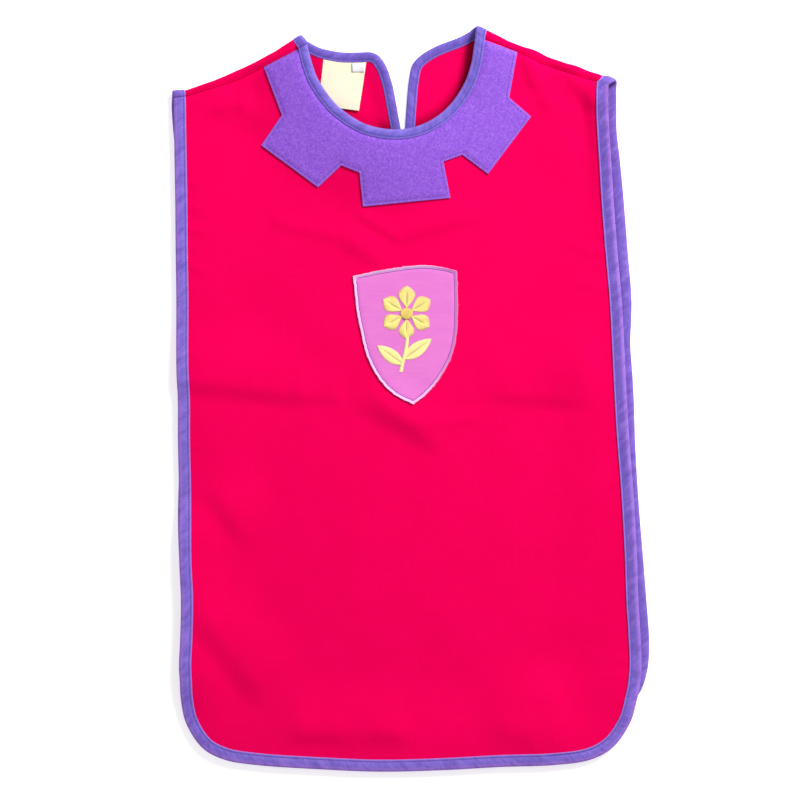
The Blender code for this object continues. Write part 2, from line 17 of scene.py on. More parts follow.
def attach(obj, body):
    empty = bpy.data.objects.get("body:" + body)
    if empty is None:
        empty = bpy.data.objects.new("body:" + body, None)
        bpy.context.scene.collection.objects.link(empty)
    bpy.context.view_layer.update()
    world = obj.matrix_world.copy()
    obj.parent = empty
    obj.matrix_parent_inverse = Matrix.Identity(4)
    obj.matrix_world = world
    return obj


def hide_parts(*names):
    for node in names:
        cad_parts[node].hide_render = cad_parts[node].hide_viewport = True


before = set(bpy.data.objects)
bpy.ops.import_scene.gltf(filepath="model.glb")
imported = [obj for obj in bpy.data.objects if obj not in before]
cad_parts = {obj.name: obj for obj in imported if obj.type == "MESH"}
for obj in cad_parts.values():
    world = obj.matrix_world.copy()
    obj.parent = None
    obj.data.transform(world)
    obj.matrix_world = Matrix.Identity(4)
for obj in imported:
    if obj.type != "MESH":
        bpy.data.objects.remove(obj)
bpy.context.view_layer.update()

MM = 0.001

# Heights and widths of the layers. An ease gives the distance up to which a lift or a shade is
# whole, and the distance from which on it is gone.
CLOTH = 1.2
WRAP = 1.3
AIR = 0.3
EDGE_WIDTH = 11.0
NECK_WIDTH = 9.0
TAPE_LIFT = 0.95
FRONT_REST = 1.8
STACK = 2.7
EDGE_EASE = (12.0, 84.0)
NECK_LIFT = 5.4
NECK_EASE = (10.0, 84.0)
NECK_SHADE_RIGHT = (-2.0, 12.5)
NECK_SHADE_LEFT = (-2.0, 16.0)
SLIT_MARGIN = 1.2
SLIT_LIFT = 3.8
SLIT_EASE = (3.0, 25.0)
SHOULDER_LIFT = 1.2
SHOULDER_EASE = (6.0, 60.0)
CURL = 9.5
RIDGE_END = 22.0
CREASE_END = 7.0
PUCKER_END = 4.0
SEAM_DIP = 2.0
SEAM_REACH = 5.0
SEAM_ROWS = (0.7, 1.6, 2.7, 4.0)
SEAM_TURN = 13.0

# Places in the plan: the garment's middle, the lowest point of the front neckline, how far across
# the long right side begins, the heights of the shoulders, of the lower slit and of the hem's
# corners, and the point that the object's origin lies under
MIDDLE = -15.0
NECK_LOWEST = -25.0
SIDE_FROM = 130.0
SHOULDERS_UP = 262.0
SLIT_UP = 226.0
CORNERS_UP = -262.0
CENTRE = (0.45, -0.85)

# Walls of the real cloths: lowest and highest n of each
CLOTH_WALL = (0.30, 0.90)
MID = sum(CLOTH_WALL) / 2
FELT_WALL = (0.96, 2.55)
PATCH_WALL = (0.96, 1.80)
LABEL_WALL = (0.96, 1.30)

# Mesh steps, and the shares of a lattice's pitch between its rows and round other points
LATTICE = 3.4
STEP = 2.4
FOLD_STEP = 0.8
LATTICE_ROWS = 0.87
LATTICE_GAP = 0.5
RIM_GAP = 0.35
ROW_STRETCH = 3.4
BEND_MARGIN = 1.5
FOLD_MARGIN = 25

# Outer edge of the tape, a row for each height up the garment
# up, front left, front right, back left, back right
SIDES = (
    (262.0, -212.0, 178.3, -214.4, 186.6),
    (241.0, -211.8, 179.2, -213.0, 186.8),
    (214.0, -211.4, 181.0, -210.3, 189.8),
    (178.0, -210.8, 183.3, -208.8, 193.2),
    (133.0, -210.4, 186.9, -208.0, 196.7),
    (88.0, -209.8, 190.8, -207.8, 200.2),
    (47.0, -209.7, 193.0, -207.8, 199.2),
    (22.0, -209.3, 194.2, -207.4, 201.0),
    (-2.0, -208.3, 195.4, -206.8, 202.3),
    (-38.0, -208.3, 197.6, -206.9, 203.4),
    (-74.0, -207.6, 200.5, -208.0, 205.3),
    (-110.0, -207.2, 202.7, -208.7, 207.8),
    (-146.0, -206.8, 204.6, -207.6, 210.8),
    (-182.0, -205.3, 205.8, -205.0, 213.6),
    (-218.0, -206.0, 208.0, -204.0, 216.1),
    (-240.0, -207.0, 208.7, -204.2, 215.3),
    (-256.0, -206.3, 207.5, -203.6, 211.8),
    (-264.0, -206.1, 206.3, -203.4, 208.6),
    (-272.0, -205.5, 204.5, -202.6, 203.4),
    (-290.0, -202.0, 199.5, -198.8, 196.4),
    (-308.0, -192.3, 188.8, -189.2, 185.5),
    (-318.0, -182.4, 178.2, -179.0, 174.8),
    (-326.0, -164.6, 160.8, -161.2, 157.4),
)

# Hem: across, front, back
HEM = (
    (-140.0, -330.0, -326.8),
    (-80.0, -334.1, -331.0),
    (-26.0, -336.2, -332.9),
    (35.0, -334.6, -331.4),
    (82.0, -332.0, -328.8),
    (130.0, -330.2, -327.0),
)

# Front neckline, from the left shoulder seam round to the right one: across, up
FRONT_NECK = (
    (-91.9, 317.8),
    (-87.6, 301.0),
    (-82.4, 286.8),
    (-69.5, 267.8),
    (-60.4, 258.9),
    (-40.2, 246.3),
    (-16.1, 241.2),
    (6.2, 243.8),
    (28.6, 255.9),
    (45.8, 276.5),
    (54.5, 297.2),
    (58.7, 322.6),
)

# Back neckline and slit, from the right shoulder round to the left one: across, up
BACK_NECK = (
    (53.2, 329.6),
    (45.5, 325.4),
    (37.2, 322.1),
    (27.4, 318.5),
    (16.7, 313.2),
    (8.6, 307.6),
    (2.6, 300.4),
    (-0.8, 285.0),
    (-2.8, 263.0),
    (-4.2, 240.0),
    (-4.3, 224.6),
    (-5.4, 222.4),
    (-6.5, 224.6),
    (-7.4, 240.0),
    (-9.8, 253.0),
    (-12.3, 267.0),
    (-15.6, 283.0),
    (-21.0, 298.6),
    (-27.6, 308.0),
    (-34.5, 311.2),
    (-44.6, 311.4),
    (-60.8, 311.6),
    (-71.5, 313.3),
    (-80.0, 315.4),
    (-87.8, 319.0),
)

# Shoulder folds as seen from above, from the neck to the armhole: across, up
FOLD_LEFT = (
    (-97.0, 327.2),
    (-105.0, 323.5),
    (-121.0, 313.2),
    (-137.0, 304.4),
    (-156.0, 295.4),
    (-178.0, 286.2),
    (-201.0, 278.4),
    (-214.3, 277.0),
)
FOLD_RIGHT = (
    (60.5, 335.4),
    (70.5, 331.8),
    (88.7, 322.4),
    (112.0, 313.3),
    (135.5, 304.4),
    (160.7, 295.4),
    (175.5, 290.2),
    (186.6, 286.0),
)

# Shoulder seams, from the neck to the armhole: across, up
SEAM_LEFT = (
    (-91.9, 317.8),
    (-102.2, 311.8),
    (-131.5, 297.2),
    (-156.0, 285.8),
    (-182.0, 277.2),
    (-201.0, 271.4),
    (-212.2, 269.7),
)
SEAM_RIGHT = (
    (58.7, 322.6),
    (70.0, 321.6),
    (97.6, 310.8),
    (120.0, 300.4),
    (152.2, 289.1),
    (165.0, 284.9),
    (178.4, 280.6),
)

# Corners of the collar's square tabs, from the left shoulder seam to the right one
COLLAR_TABS = (
    (-131.0, 296.0),
    (-114.8, 254.2),
    (-133.6, 227.4),
    (-82.4, 189.6),
    (-61.4, 209.0),
    (-45.0, 202.4),
    (-42.0, 172.2),
    (36.8, 180.0),
    (30.4, 212.2),
    (47.6, 218.4),
    (70.6, 201.6),
    (109.4, 253.2),
    (89.6, 270.0),
    (96.8, 309.4),
)

# Shield patch, from its top edge to its tip: up, left, right
SHIELD_TOP = ((-51.0, 109.8), (-26.0, 115.0), (8.0, 119.4), (24.0, 118.8), (42.7, 114.6))
SHIELD_SIDES = (
    (94.0, -49.2, 43.3),
    (76.0, -47.2, 43.4),
    (55.0, -42.8, 42.2),
    (36.0, -37.6, 37.3),
    (16.0, -26.6, 26.0),
    (3.0, -13.4, 14.8),
)
SHIELD_TIP = (3.6, -5.8)

# Labels sewn into the back neck: corners from the upper left, the way round. The label's upper
# edge then follows the neck tape.
LABEL_CORNERS = ((-77.6, 301.6), (-38.9, 301.4), (-45.5, 258.6), (-82.4, 263.4))
TAB_CORNERS = ((-51.8, 301.8), (-39.7, 301.8), (-40.8, 293.6), (-51.8, 293.6))

# Soft ridges in the front: start and end, height, reach to the left and to the right of the
# way from start to end
RIDGES = (
    # across, up, to across, to up, height, left reach, right reach
    (-225.0, 21.0, -100.0, 6.0, 3.0, 58.0, 18.0),
    (-250.0, 36.0, -125.0, 22.0, 1.8, 60.0, 150.0),
    (-37.0, -2.0, 26.0, -37.0, 3.0, 40.0, 18.0),
    (74.0, 8.0, 158.0, 0.0, 1.8, 46.0, 16.0),
    (-173.0, -84.0, -146.0, -124.0, 2.3, 44.0, 17.0),
    (-183.0, -190.0, -128.0, -266.0, 3.7, 56.0, 25.0),
    (-112.0, -294.0, -2.0, -296.0, 2.4, 56.0, 26.0),
    (120.0, -250.0, 116.0, -318.0, 3.2, 48.0, 70.0),
    (-62.0, 148.0, -22.0, 124.0, 2.0, 20.0, 16.0),
    (-9.0, 147.0, 66.0, 168.0, 2.0, 22.0, 13.0),
    (-176.0, 271.0, -128.0, 252.0, 1.7, 22.0, 24.0),
    (128.0, 276.0, 144.0, 206.0, 2.2, 26.0, 44.0),
    (-214.0, -110.0, -207.0, -268.0, 5.2, 56.0, 60.0),
    (154.0, 12.0, 150.0, 56.0, 4.2, 60.0, 27.0),
)

# Smaller ridges and troughs of the cloth, in the same columns. A negative height is a trough.
CREASES = (
    # across, up, to across, to up, height, left reach, right reach
    (-205.0, 195.0, -188.0, 192.0, 0.5, 6.0, 6.0),
    (-205.0, 175.0, -186.0, 170.0, 0.6, 7.0, 6.0),
    (-205.0, 152.0, -184.0, 150.0, 0.5, 6.0, 6.0),
    (-205.0, 123.0, -180.0, 112.0, 0.6, 8.0, 7.0),
    (140.0, 142.0, 172.0, 128.0, 0.7, 9.0, 9.0),
    (150.0, 106.0, 178.0, 98.0, 0.6, 8.0, 8.0),
    (-176.0, 258.0, -150.0, 268.0, 0.8, 8.0, 8.0),
    (-148.6, 288.0, -150.4, 258.0, 1.1, 10.0, 8.0),
    (107.0, 310.0, 114.0, 281.0, 3.6, 18.0, 13.0),
    (115.0, 281.0, 128.0, 261.0, 1.2, 14.0, 12.0),
    (144.0, 296.0, 167.0, 262.0, 2.5, 16.0, 13.0),
    (-122.0, 160.0, -68.0, 146.0, 0.9, 12.0, 10.0),
    (-47.0, 167.0, -8.0, 144.0, 1.0, 9.0, 9.0),
    (-104.0, 6.0, -62.0, 3.0, 1.2, 34.0, 14.0),
    (-34.0, 4.0, 8.0, -24.0, 0.9, 12.0, 11.0),
    (8.0, -24.0, 62.0, -17.0, 0.8, 12.0, 10.0),
    (-104.0, -300.0, -58.0, -302.0, 0.9, 26.0, 12.0),
    (-34.0, -300.0, -2.0, -303.0, 0.8, 20.0, 12.0),
    (80.0, -299.0, 110.0, -301.0, 0.9, 24.0, 15.0),
)

# Slight waves of cloth laid down by hand: height, size, and place in the noise
UNEVEN = ((0.30, 46, 3.1), (0.10, 15, 8.7))

# How the right side of the front stands up towards its tape: the height that is reached at near,
# beginning at far, and between which heights up the garment it dies out
SIDE_ROLLS = (
    # height, near, far, all up from, none below
    (1.2, 2.8, 8.2, -205.0, -262.0),
    (0.5, 8.0, 20.0, -150.0, -240.0),
    (4.4, 8.0, 25.0, 250.0, 110.0),
)

# Half of the folded tape's section: how far in from the fold, or back from the leg's end, and how
# high above the cloth's middle its outer and its inner skin are
TAPE_FOLD = (
    # outer in, outer high, inner in, inner high
    (0.00, 0.00, 0.50, 0.00),
    (0.22, 0.62, 0.58, 0.30),
    (0.80, 1.05, 0.95, 0.60),
    (1.70, 1.32, 1.75, 0.85),
    (3.00, 1.42, 3.00, 0.94),
)
TAPE_LEG = (
    # outer back, outer high, inner back, inner high
    (4.60, 1.40, 4.60, 0.92),
    (3.30, 1.22, 3.30, 0.76),
    (2.60, 0.98, 2.60, 0.54),
    (2.10, 0.86, 2.10, 0.40),
    (1.60, 0.90, 1.60, 0.37),
    (1.00, 1.06, 1.00, 0.37),
    (0.35, 1.00, 0.40, 0.37),
    (0.00, 0.66, 0.15, 0.37),
)

# How far from the leg's end a tape is sewn, how far the neck tape's leg lies over the collar, and
# the widths over which a leg is lifted and beaded
SEWN = 2.1
NECK_OVER = 0.75
OVER_EASE = (3.0, 7.0)
BEAD_EASE = (0.6, 1.9)

# Waves of a sewn tape: size, slant across the tape, and the length over which they come and go
TAPE_WAVES = ((8.6, 0.9, 67.0), (13.7, 1.2, 109.0), (27.0, 0.6, 171.0))

# The small tab's skins, from its upper end round its fold and back: share of its drop, what is
# taken off that, and n
TAB_OUTER = ((0, 0, 2.15), (0.5, 0, 2.25), (1, 0.5, 2.12), (1, 0, 1.78), (1, 0.5, 1.40),
             (0.5, 0, 1.40), (0, 0, 1.40))
TAB_INNER = ((0, 0, 1.90), (0.5, 0, 2.00), (1, 0.6, 1.88), (1, 0.28, 1.78), (1, 0.6, 1.65),
             (0.5, 0, 1.65), (0, 0, 1.65))
TAB_TAPER = 1.0

# Colours in linear light
CRIMSON = (0.870, 0.0002, 0.0920)
CRIMSON_DEEP = (0.800, 0.0001, 0.0820)
CRIMSON_SHADE = (0.220, 0.0001, 0.0080)
VIOLET = (0.228, 0.142, 0.610)
# Bluer mottling of the tape, and its painted shade in the sunk stitch line
VIOLET_BLUE = (0.178, 0.122, 0.560)
# Painted sheen of the edge tape's fold
VIOLET_SHEEN = (0.360, 0.165, 0.640)
# Paler fibres, and the painted highlights of the sewn edge and of painted creases
VIOLET_LIGHT = (0.345, 0.195, 0.700)
# Painted shade on the tapes, also the dark streaks of their painted creases
VIOLET_SHADE = (0.125, 0.062, 0.370)
# The tapes' fold sheen where painted shade lies on it
SHEEN_IN_SHADE = (0.250, 0.085, 0.400)
FELT_MID = (0.255, 0.090, 0.625)
FELT_DARK = (0.180, 0.060, 0.530)
FELT_PALE = (0.365, 0.155, 0.740)
LILAC = (0.765, 0.200, 0.610)
LILAC_DEEP = (0.700, 0.165, 0.580)
# The overcast edge's paler colour, laid on more fully as painted light except at the shield's
# right side
LILAC_PALE = (0.880, 0.500, 0.880)
CREAM = (0.850, 0.810, 0.620)
WHITE = (0.900, 0.900, 0.900)
YELLOW = (0.930, 0.830, 0.290)
YELLOW_DEEP = (0.880, 0.700, 0.190)
YELLOW_PALE = (0.930, 0.860, 0.380)
DARK_VIOLET = (0.090, 0.050, 0.330)
DARKEST_VIOLET = (0.060, 0.035, 0.240)
NECK_VIOLET = (0.168, 0.116, 0.555)
# Bluer mottling of the tape, and its painted shade in the sunk stitch line
NECK_BLUE = (0.140, 0.100, 0.500)
# Painted sheen of the neck tape's fold
NECK_SHEEN = (0.245, 0.165, 0.640)
# Paler fibres, and the painted highlights of the sewn edge and of painted creases
NECK_LIGHT = (0.245, 0.165, 0.650)
FELT_RIM = (0.390, 0.180, 0.780)
CREAM_SHADE = (0.810, 0.760, 0.540)
WHITE_SHADE = (0.840, 0.850, 0.880)
OCHRE = (0.700, 0.460, 0.080)
FRAY_LILAC = (0.820, 0.400, 0.800)

# Pitches of weave, rib, twist and overcasting, in metres
CLOTH_WEAVE = 0.00062
TAPE_WEAVE = 0.00066
PATCH_RIB = 0.0011
OVERCAST_PITCH = 0.0009
LABEL_WEAVE = 0.0005
THREAD_TWIST = 0.0007


def spline(points, pieces=20):
    """A smooth curve through the points, as many short steps."""
    p = np.array(points, float)
    p = np.vstack((2 * p[0] - p[1], p, 2 * p[-1] - p[-2]))
    out = []
    for i in range(1, len(p) - 2):
        gap = [max(np.linalg.norm(p[k + 1] - p[k]), 1e-6) ** 0.5 for k in (i - 1, i, i + 1)]
        start = (p[i] - p[i - 1]) / gap[0] - (p[i + 1] - p[i - 1]) / (gap[0] + gap[1])
        start = (start + (p[i + 1] - p[i]) / gap[1]) * gap[1]
        end = (p[i + 1] - p[i]) / gap[1] - (p[i + 2] - p[i]) / (gap[1] + gap[2])
        end = (end + (p[i + 2] - p[i + 1]) / gap[2]) * gap[1]
        for k in range(pieces):
            f = k / pieces
            out.append((2 * f**3 - 3 * f**2 + 1) * p[i] + (f**3 - 2 * f**2 + f) * start
                       + (3 * f**2 - 2 * f**3) * p[i + 1] + (f**3 - f**2) * end)
    out.append(p[-2])
    return np.array(out)


def unit(vector):
    """A vector of length 1."""
    vector = np.array(vector, float)
    return vector / np.linalg.norm(vector)


def lengths(path):
    """How far along a path each of its points is."""
    return np.concatenate(((0.0,), np.cumsum(np.linalg.norm(np.diff(path, axis=0), axis=1))))


def resample(path, step):
    """The same path with points at even distances."""
    path = np.array(path, float)
    along = lengths(path)
    at = np.linspace(0, along[-1], max(2, round(along[-1] / step) + 1))
    return np.column_stack([np.interp(at, along, path[:, k]) for k in range(path.shape[1])])


def inward(path, ends=None):
    """The right-hand side of the way along a path, where its cloth is. Given the ways along the
    seams at its two ends, it turns to them over the last few millimetres."""
    way = np.gradient(path, axis=0)
    way = way / np.linalg.norm(way, axis=1)[:, None]
    into = np.column_stack((way[:, 1], -way[:, 0]))
    if ends:
        gone = lengths(path)
        for end, far in zip(ends, (gone, gone[-1] - gone)):
            share = ease(far, 0.0, SEAM_TURN)[:, None]
            into = into * (1 - share) + np.array(end) * share
        into = into / np.linalg.norm(into, axis=1)[:, None]
    return into


def distance(points, path):
    """How far each point is from a path."""
    a = path[:-1]
    d = path[1:] - a
    size = np.maximum((d * d).sum(1), 1e-12)
    best = np.full(len(points), 1e9)
    for k in range(0, len(points), 400):
        q = points[k:k + 400, None, :] - a[None]
        f = np.clip((q * d[None]).sum(2) / size[None], 0, 1)
        gap = q - f[..., None] * d[None]
        best[k:k + 400] = np.sqrt((gap * gap).sum(2)).min(1)
    return best


def nearest(points, *paths):
    """How far each point is from the nearest of some paths."""
    return np.min([distance(points, path) for path in paths], axis=0)


def inside(points, outline):
    """Which points lie in a closed outline."""
    x, y = points[:, 0], points[:, 1]
    found = np.zeros(len(points), bool)
    for (ax, ay), (bx, by) in zip(outline, np.roll(outline, -1, axis=0)):
        if ay == by:
            continue
        crosses = (ay > y) != (by > y)
        found ^= crosses & (x < (bx - ax) * (y - ay) / (by - ay) + ax)
    return found


def ease(value, near, far):
    """1 up to near and 0 from far on, with a smooth slope between."""
    f = np.clip((np.asarray(value, float) - near) / (far - near), 0, 1)
    return 1 - f * f * (3 - 2 * f)


GAP_UP = np.array((0, AIR / 2))


def side_rows(left, right, hem):
    """Down the left side, along the hem and up the right side."""
    down = [(row[left], row[0]) for row in SIDES]
    across = [(row[0], row[hem]) for row in HEM]
    up = [(row[right], row[0]) for row in reversed(SIDES)]
    return down + across + up


FRONT_SIDE = spline(
    [SEAM_LEFT[-1] - GAP_UP] + side_rows(1, 2, 1) + [SEAM_RIGHT[-1] - GAP_UP])[::-1]
FRONT_NECK_LINE = spline(
    [FRONT_NECK[0] - GAP_UP] + list(FRONT_NECK[1:-1]) + [FRONT_NECK[-1] - GAP_UP])
BACK_SIDE_LOW = spline([FOLD_LEFT[-1]] + side_rows(3, 4, 2) + [FOLD_RIGHT[-1]], 5)
BACK_NECK_LOW = spline([FOLD_RIGHT[0]] + list(BACK_NECK) + [FOLD_LEFT[0]], 5)
FRONT_SIDE_LONG = np.vstack((FOLD_RIGHT[-1], FRONT_SIDE[::4], FRONT_SIDE[-1], FOLD_LEFT[-1]))
FRONT_NECK_LONG = np.vstack(
    (FOLD_LEFT[0], FRONT_NECK_LINE[::4], FRONT_NECK_LINE[-1], FOLD_RIGHT[0]))
FOLD_LINES = (np.array(FOLD_LEFT), np.array(FOLD_RIGHT))


# Small creases beside the tapes: gaps between them, length, height, reach to either side, and how
# far they lean
PUCKER_GAP = (9.0, 26.0)
PUCKER_LENGTH = (7.0, 20.0)
PUCKER_HEIGHT = (0.08, 0.34)
PUCKER_REACH = (3.0, 6.0)
PUCKER_LEAN = (-0.5, 0.5)
PUCKER_UNDER = 4.0


def small_puckers():
    """Rows of small creases that run into the cloth from its sewn tapes."""
    rng = random.Random(11)
    rows = []
    for path, width, first, last in ((FRONT_SIDE, EDGE_WIDTH, 30.0, 60.0),
                                     (FRONT_NECK_LINE, NECK_WIDTH, 30.0, 30.0)):
        path = resample(path, 1.0)
        into = inward(path)
        at = first
        while at < len(path) - last:
            k = int(at)
            start = path[k] + into[k] * (width - PUCKER_UNDER)
            lean = rng.uniform(*PUCKER_LEAN)
            way = into[k] + lean * np.array((into[k][1], -into[k][0]))
            end = start + way * rng.uniform(*PUCKER_LENGTH)
            rows.append((*start, *end, rng.uniform(*PUCKER_HEIGHT), rng.uniform(*PUCKER_REACH),
                         rng.uniform(*PUCKER_REACH)))
            at += rng.uniform(*PUCKER_GAP)
    return tuple(rows)


def ridge_height(points, rows, end):
    """Height that soft ridges add to the front."""
    total = np.zeros(len(points))
    for x0, y0, x1, y1, height, left, right in rows:
        way = np.array((x1 - x0, y1 - y0))
        length = np.linalg.norm(way)
        way = way / length
        off = points - np.array((x0, y0))
        along = off @ way
        side = off @ np.array((-way[1], way[0]))
        reach = np.where(side > 0, left, right)
        slope = np.cos(np.clip(np.abs(side) / reach, 0, 1) * math.pi / 2) ** 2
        total += height * slope * ease(-along, -end, end) * ease(along - length, -end, end)
    return total


def undulation(points):
    """Slight unevenness of cloth that has been laid down by hand."""
    return np.array([sum(height * noise.noise(Vector((x / size, y / size, seed)))
                         for height, size, seed in UNEVEN) for x, y in points])


PUCKERS = small_puckers()
RIGHT_SIDE = FRONT_SIDE[FRONT_SIDE[:, 0] > SIDE_FROM]


def side_roll(points):
    """Height that the right side of the front gains towards its tape."""
    deep = distance(points, RIGHT_SIDE)
    return sum(height * ease(deep, near, far) * ease(-points[:, 1], -full, -none)
               for height, near, far, full, none in SIDE_ROLLS)


def front_height(points):
    """Height of the underside of the front."""
    return (FRONT_REST + STACK * ease(nearest(points, BACK_SIDE_LOW, BACK_NECK_LOW), *EDGE_EASE)
            + WRAP * ease(nearest(points, FRONT_SIDE_LONG, FRONT_NECK_LONG), *EDGE_EASE)
            + NECK_LIFT * ease(distance(points, FRONT_NECK_LONG), *NECK_EASE)
            + SHOULDER_LIFT * ease(nearest(points, *FOLD_LINES), *SHOULDER_EASE)
            + ridge_height(points, RIDGES, RIDGE_END) + ridge_height(points, CREASES, CREASE_END)
            + ridge_height(points, PUCKERS, PUCKER_END) + side_roll(points) + undulation(points))


class Fold:
    """The frame of one shoulder fold: t runs along it and s beyond its start."""

    def __init__(self, rows):
        rows = np.array(rows)
        self.origin = rows[0]
        self.along = unit(rows[-1] - rows[0])
        out = np.array((-self.along[1], self.along[0]))
        self.out = out if out[1] > 0 else -out
        self.t = (rows - self.origin) @ self.along
        lift = TAPE_LIFT * ease(nearest(rows, BACK_SIDE_LOW, BACK_NECK_LOW), *EDGE_EASE)
        reach = (front_height(rows) + CLOTH - lift) / 2 + lift
        self.start = (rows - self.origin) @ self.out - reach

    def split(self, points):
        """How far along the fold points are, and how far beyond its start."""
        off = points - self.origin
        t = off @ self.along
        return t, off @ self.out - np.interp(t, self.t, self.start)

    def join(self, t, s):
        """The points that are so far along the fold and beyond its start."""
        out = s + np.interp(t, self.t, self.start)
        return self.origin + np.outer(t, self.along) + np.outer(out, self.out)

    def unroll(self, points):
        """Where points on the upper layer lie in the flat cloth of the back."""
        t, s = self.split(np.array(points, float).reshape(-1, 2))
        return self.join(t, CURL - s)

    def bends(self, points):
        """Which points of the flat cloth lie where it is turned round the fold."""
        t, s = self.split(points)
        bent = (s > -BEND_MARGIN) & (s < CURL + BEND_MARGIN)
        return bent & (t > self.t[0] - FOLD_MARGIN) & (t < self.t[-1] + FOLD_MARGIN)

    def rows(self):
        """Rows of points along the fold, close together where its cloth bends."""
        t = np.arange(self.t[0] - 4, self.t[-1] + 4, ROW_STRETCH * FOLD_STEP)
        count = round(CURL / FOLD_STEP / 1.2)
        return [self.join(t, np.full(len(t), CURL * k / count)) for k in range(count + 1)]

    def crest(self, point):
        """Where a point on the seen fold lies in the flat cloth of the back."""
        t = (np.array(point) - self.origin) @ self.along
        return self.join(np.array((t,)), np.array((CURL / 2,)))


LEFT = Fold(FOLD_LEFT)
RIGHT = Fold(FOLD_RIGHT)

# The back's paths in its flat cloth, beyond the folds too
BACK_SIDE = spline(np.vstack((
    LEFT.unroll(SEAM_LEFT[-1] + GAP_UP), LEFT.crest(FOLD_LEFT[-1]), side_rows(3, 4, 2),
    RIGHT.crest(FOLD_RIGHT[-1]), RIGHT.unroll(SEAM_RIGHT[-1] + GAP_UP))))[::-1]
BACK_NECK_LINE = spline(np.vstack((
    RIGHT.unroll(FRONT_NECK[-1] + GAP_UP), RIGHT.crest(FOLD_RIGHT[0]), BACK_NECK,
    LEFT.crest(FOLD_LEFT[0]), LEFT.unroll(FRONT_NECK[0] + GAP_UP))))[::-1]
BACK_EDGES = (BACK_SIDE[::4], BACK_NECK_LINE[::2])
SLIT_LEFT = spline([row for row in BACK_NECK if row[0] < -5.4 and row[1] < 309.0], 5)


def lay_front(flat):
    """Lays points of the front, (across, up, n), over the back."""
    return np.column_stack((flat[:, :2], front_height(flat[:, :2]) + flat[:, 2]))


def back_lift(plan):
    """Height of the underside of the back, which stands up along the left side of its slit."""
    lift = TAPE_LIFT * ease(nearest(plan, *BACK_EDGES), *EDGE_EASE)
    left = plan[:, 0] < np.interp(plan[:, 1], SLIT_LEFT[:, 1], SLIT_LEFT[:, 0]) + SLIT_MARGIN
    return lift + left * SLIT_LIFT * ease(distance(plan, SLIT_LEFT), *SLIT_EASE) * ease(
        -plan[:, 1], -SHOULDERS_UP, -SLIT_UP)


def lay_back(flat):
    """Lays points of the back, (across, up, n), and turns them round the shoulder folds."""
    plan = flat[:, :2].copy()
    n = flat[:, 2]
    low = back_lift(plan) + n
    height = low.copy()
    for fold, here in ((LEFT, plan[:, 0] < MIDDLE), (RIGHT, plan[:, 0] >= MIDDLE)):
        t, s = fold.split(flat[:, :2])
        turned = here & (s > 0)
        if not turned.any():
            continue
        t = t[turned]
        s = s[turned]
        angle = np.clip(s / CURL, 0, 1) * math.pi
        upper = fold.join(t, -np.maximum(s - CURL, 0))
        high = front_height(upper) + CLOTH - n[turned]
        radius = (high - low[turned]) / 2
        share = (1 - np.cos(angle)) / 2
        plan[turned] = upper + np.outer(radius * np.sin(angle), fold.out)
        height[turned] = (1 - share) * low[turned] + share * high
    return np.column_stack((plan, height))


class Edge:
    """The taped edge of a panel, from the outside of its fold."""

    def __init__(self, path, ends, width, seams):
        path = resample(path, FOLD_STEP)
        keep = np.arange(len(path)) % round(STEP / FOLD_STEP) == 0
        keep |= LEFT.bends(path) | RIGHT.bends(path)
        keep[-1] = True
        self.path = path[keep]
        self.into = inward(self.path, ends)
        self.width = width
        self.along = lengths(self.path)
        self.turns = []
        for far, end, (fold, seam) in zip((self.along, self.along[-1] - self.along), ends, seams):
            self.turns.append((ease(far, 0.0, SEAM_TURN), np.array(end), fold, seam))

    def at(self, depth, index=slice(None)):
        """The points so far into the cloth from the fold, and at a seam along its own line."""
        depth = np.reshape(depth, (-1, 1))
        flat = self.path[index] + self.into[index] * depth
        for share, end, fold, (point, way) in self.turns:
            straight = fold.unroll(point)[0] + end * depth
            flat += share[index][:, None] * (fold.unroll(point + way * depth) - straight)
        return flat


def seam_start(rows, neck):
    """Where a seam of the back begins as seen from above, and its way into the cloth."""
    return rows[0 if neck else -1] + GAP_UP, seam_way(rows, neck)


def seam_way(rows, neck, fold=None):
    """The way along a seam into the cloth, from its neck end or its armhole end."""
    one, two = (rows[0], rows[1]) if neck else (rows[-1], rows[-2])
    if fold:
        one, two = fold.unroll((one, two))
    return unit(np.array(two) - np.array(one))


def taped_edge(line, width, neck, seams, folds=(None, None)):
    """The taped edge along a line from one shoulder seam to the other; the back's has folds."""
    ends = [seam_way(rows, neck, fold) for rows, fold in zip(seams, folds)]
    starts = [(fold, seam_start(rows, neck)) for rows, fold in zip(seams, folds) if fold]
    return Edge(line, ends, width, starts)


# Making, laying and finishing the pieces

def grown(bm, move):
    """Doubles all faces of a flat mesh into a wall, and moves the new layer."""
    made = bmesh.ops.extrude_face_region(bm, geom=bm.faces[:])["geom"]
    layer = [g for g in made if isinstance(g, bmesh.types.BMVert)]
    bmesh.ops.translate(bm, verts=layer, vec=move)
    return layer


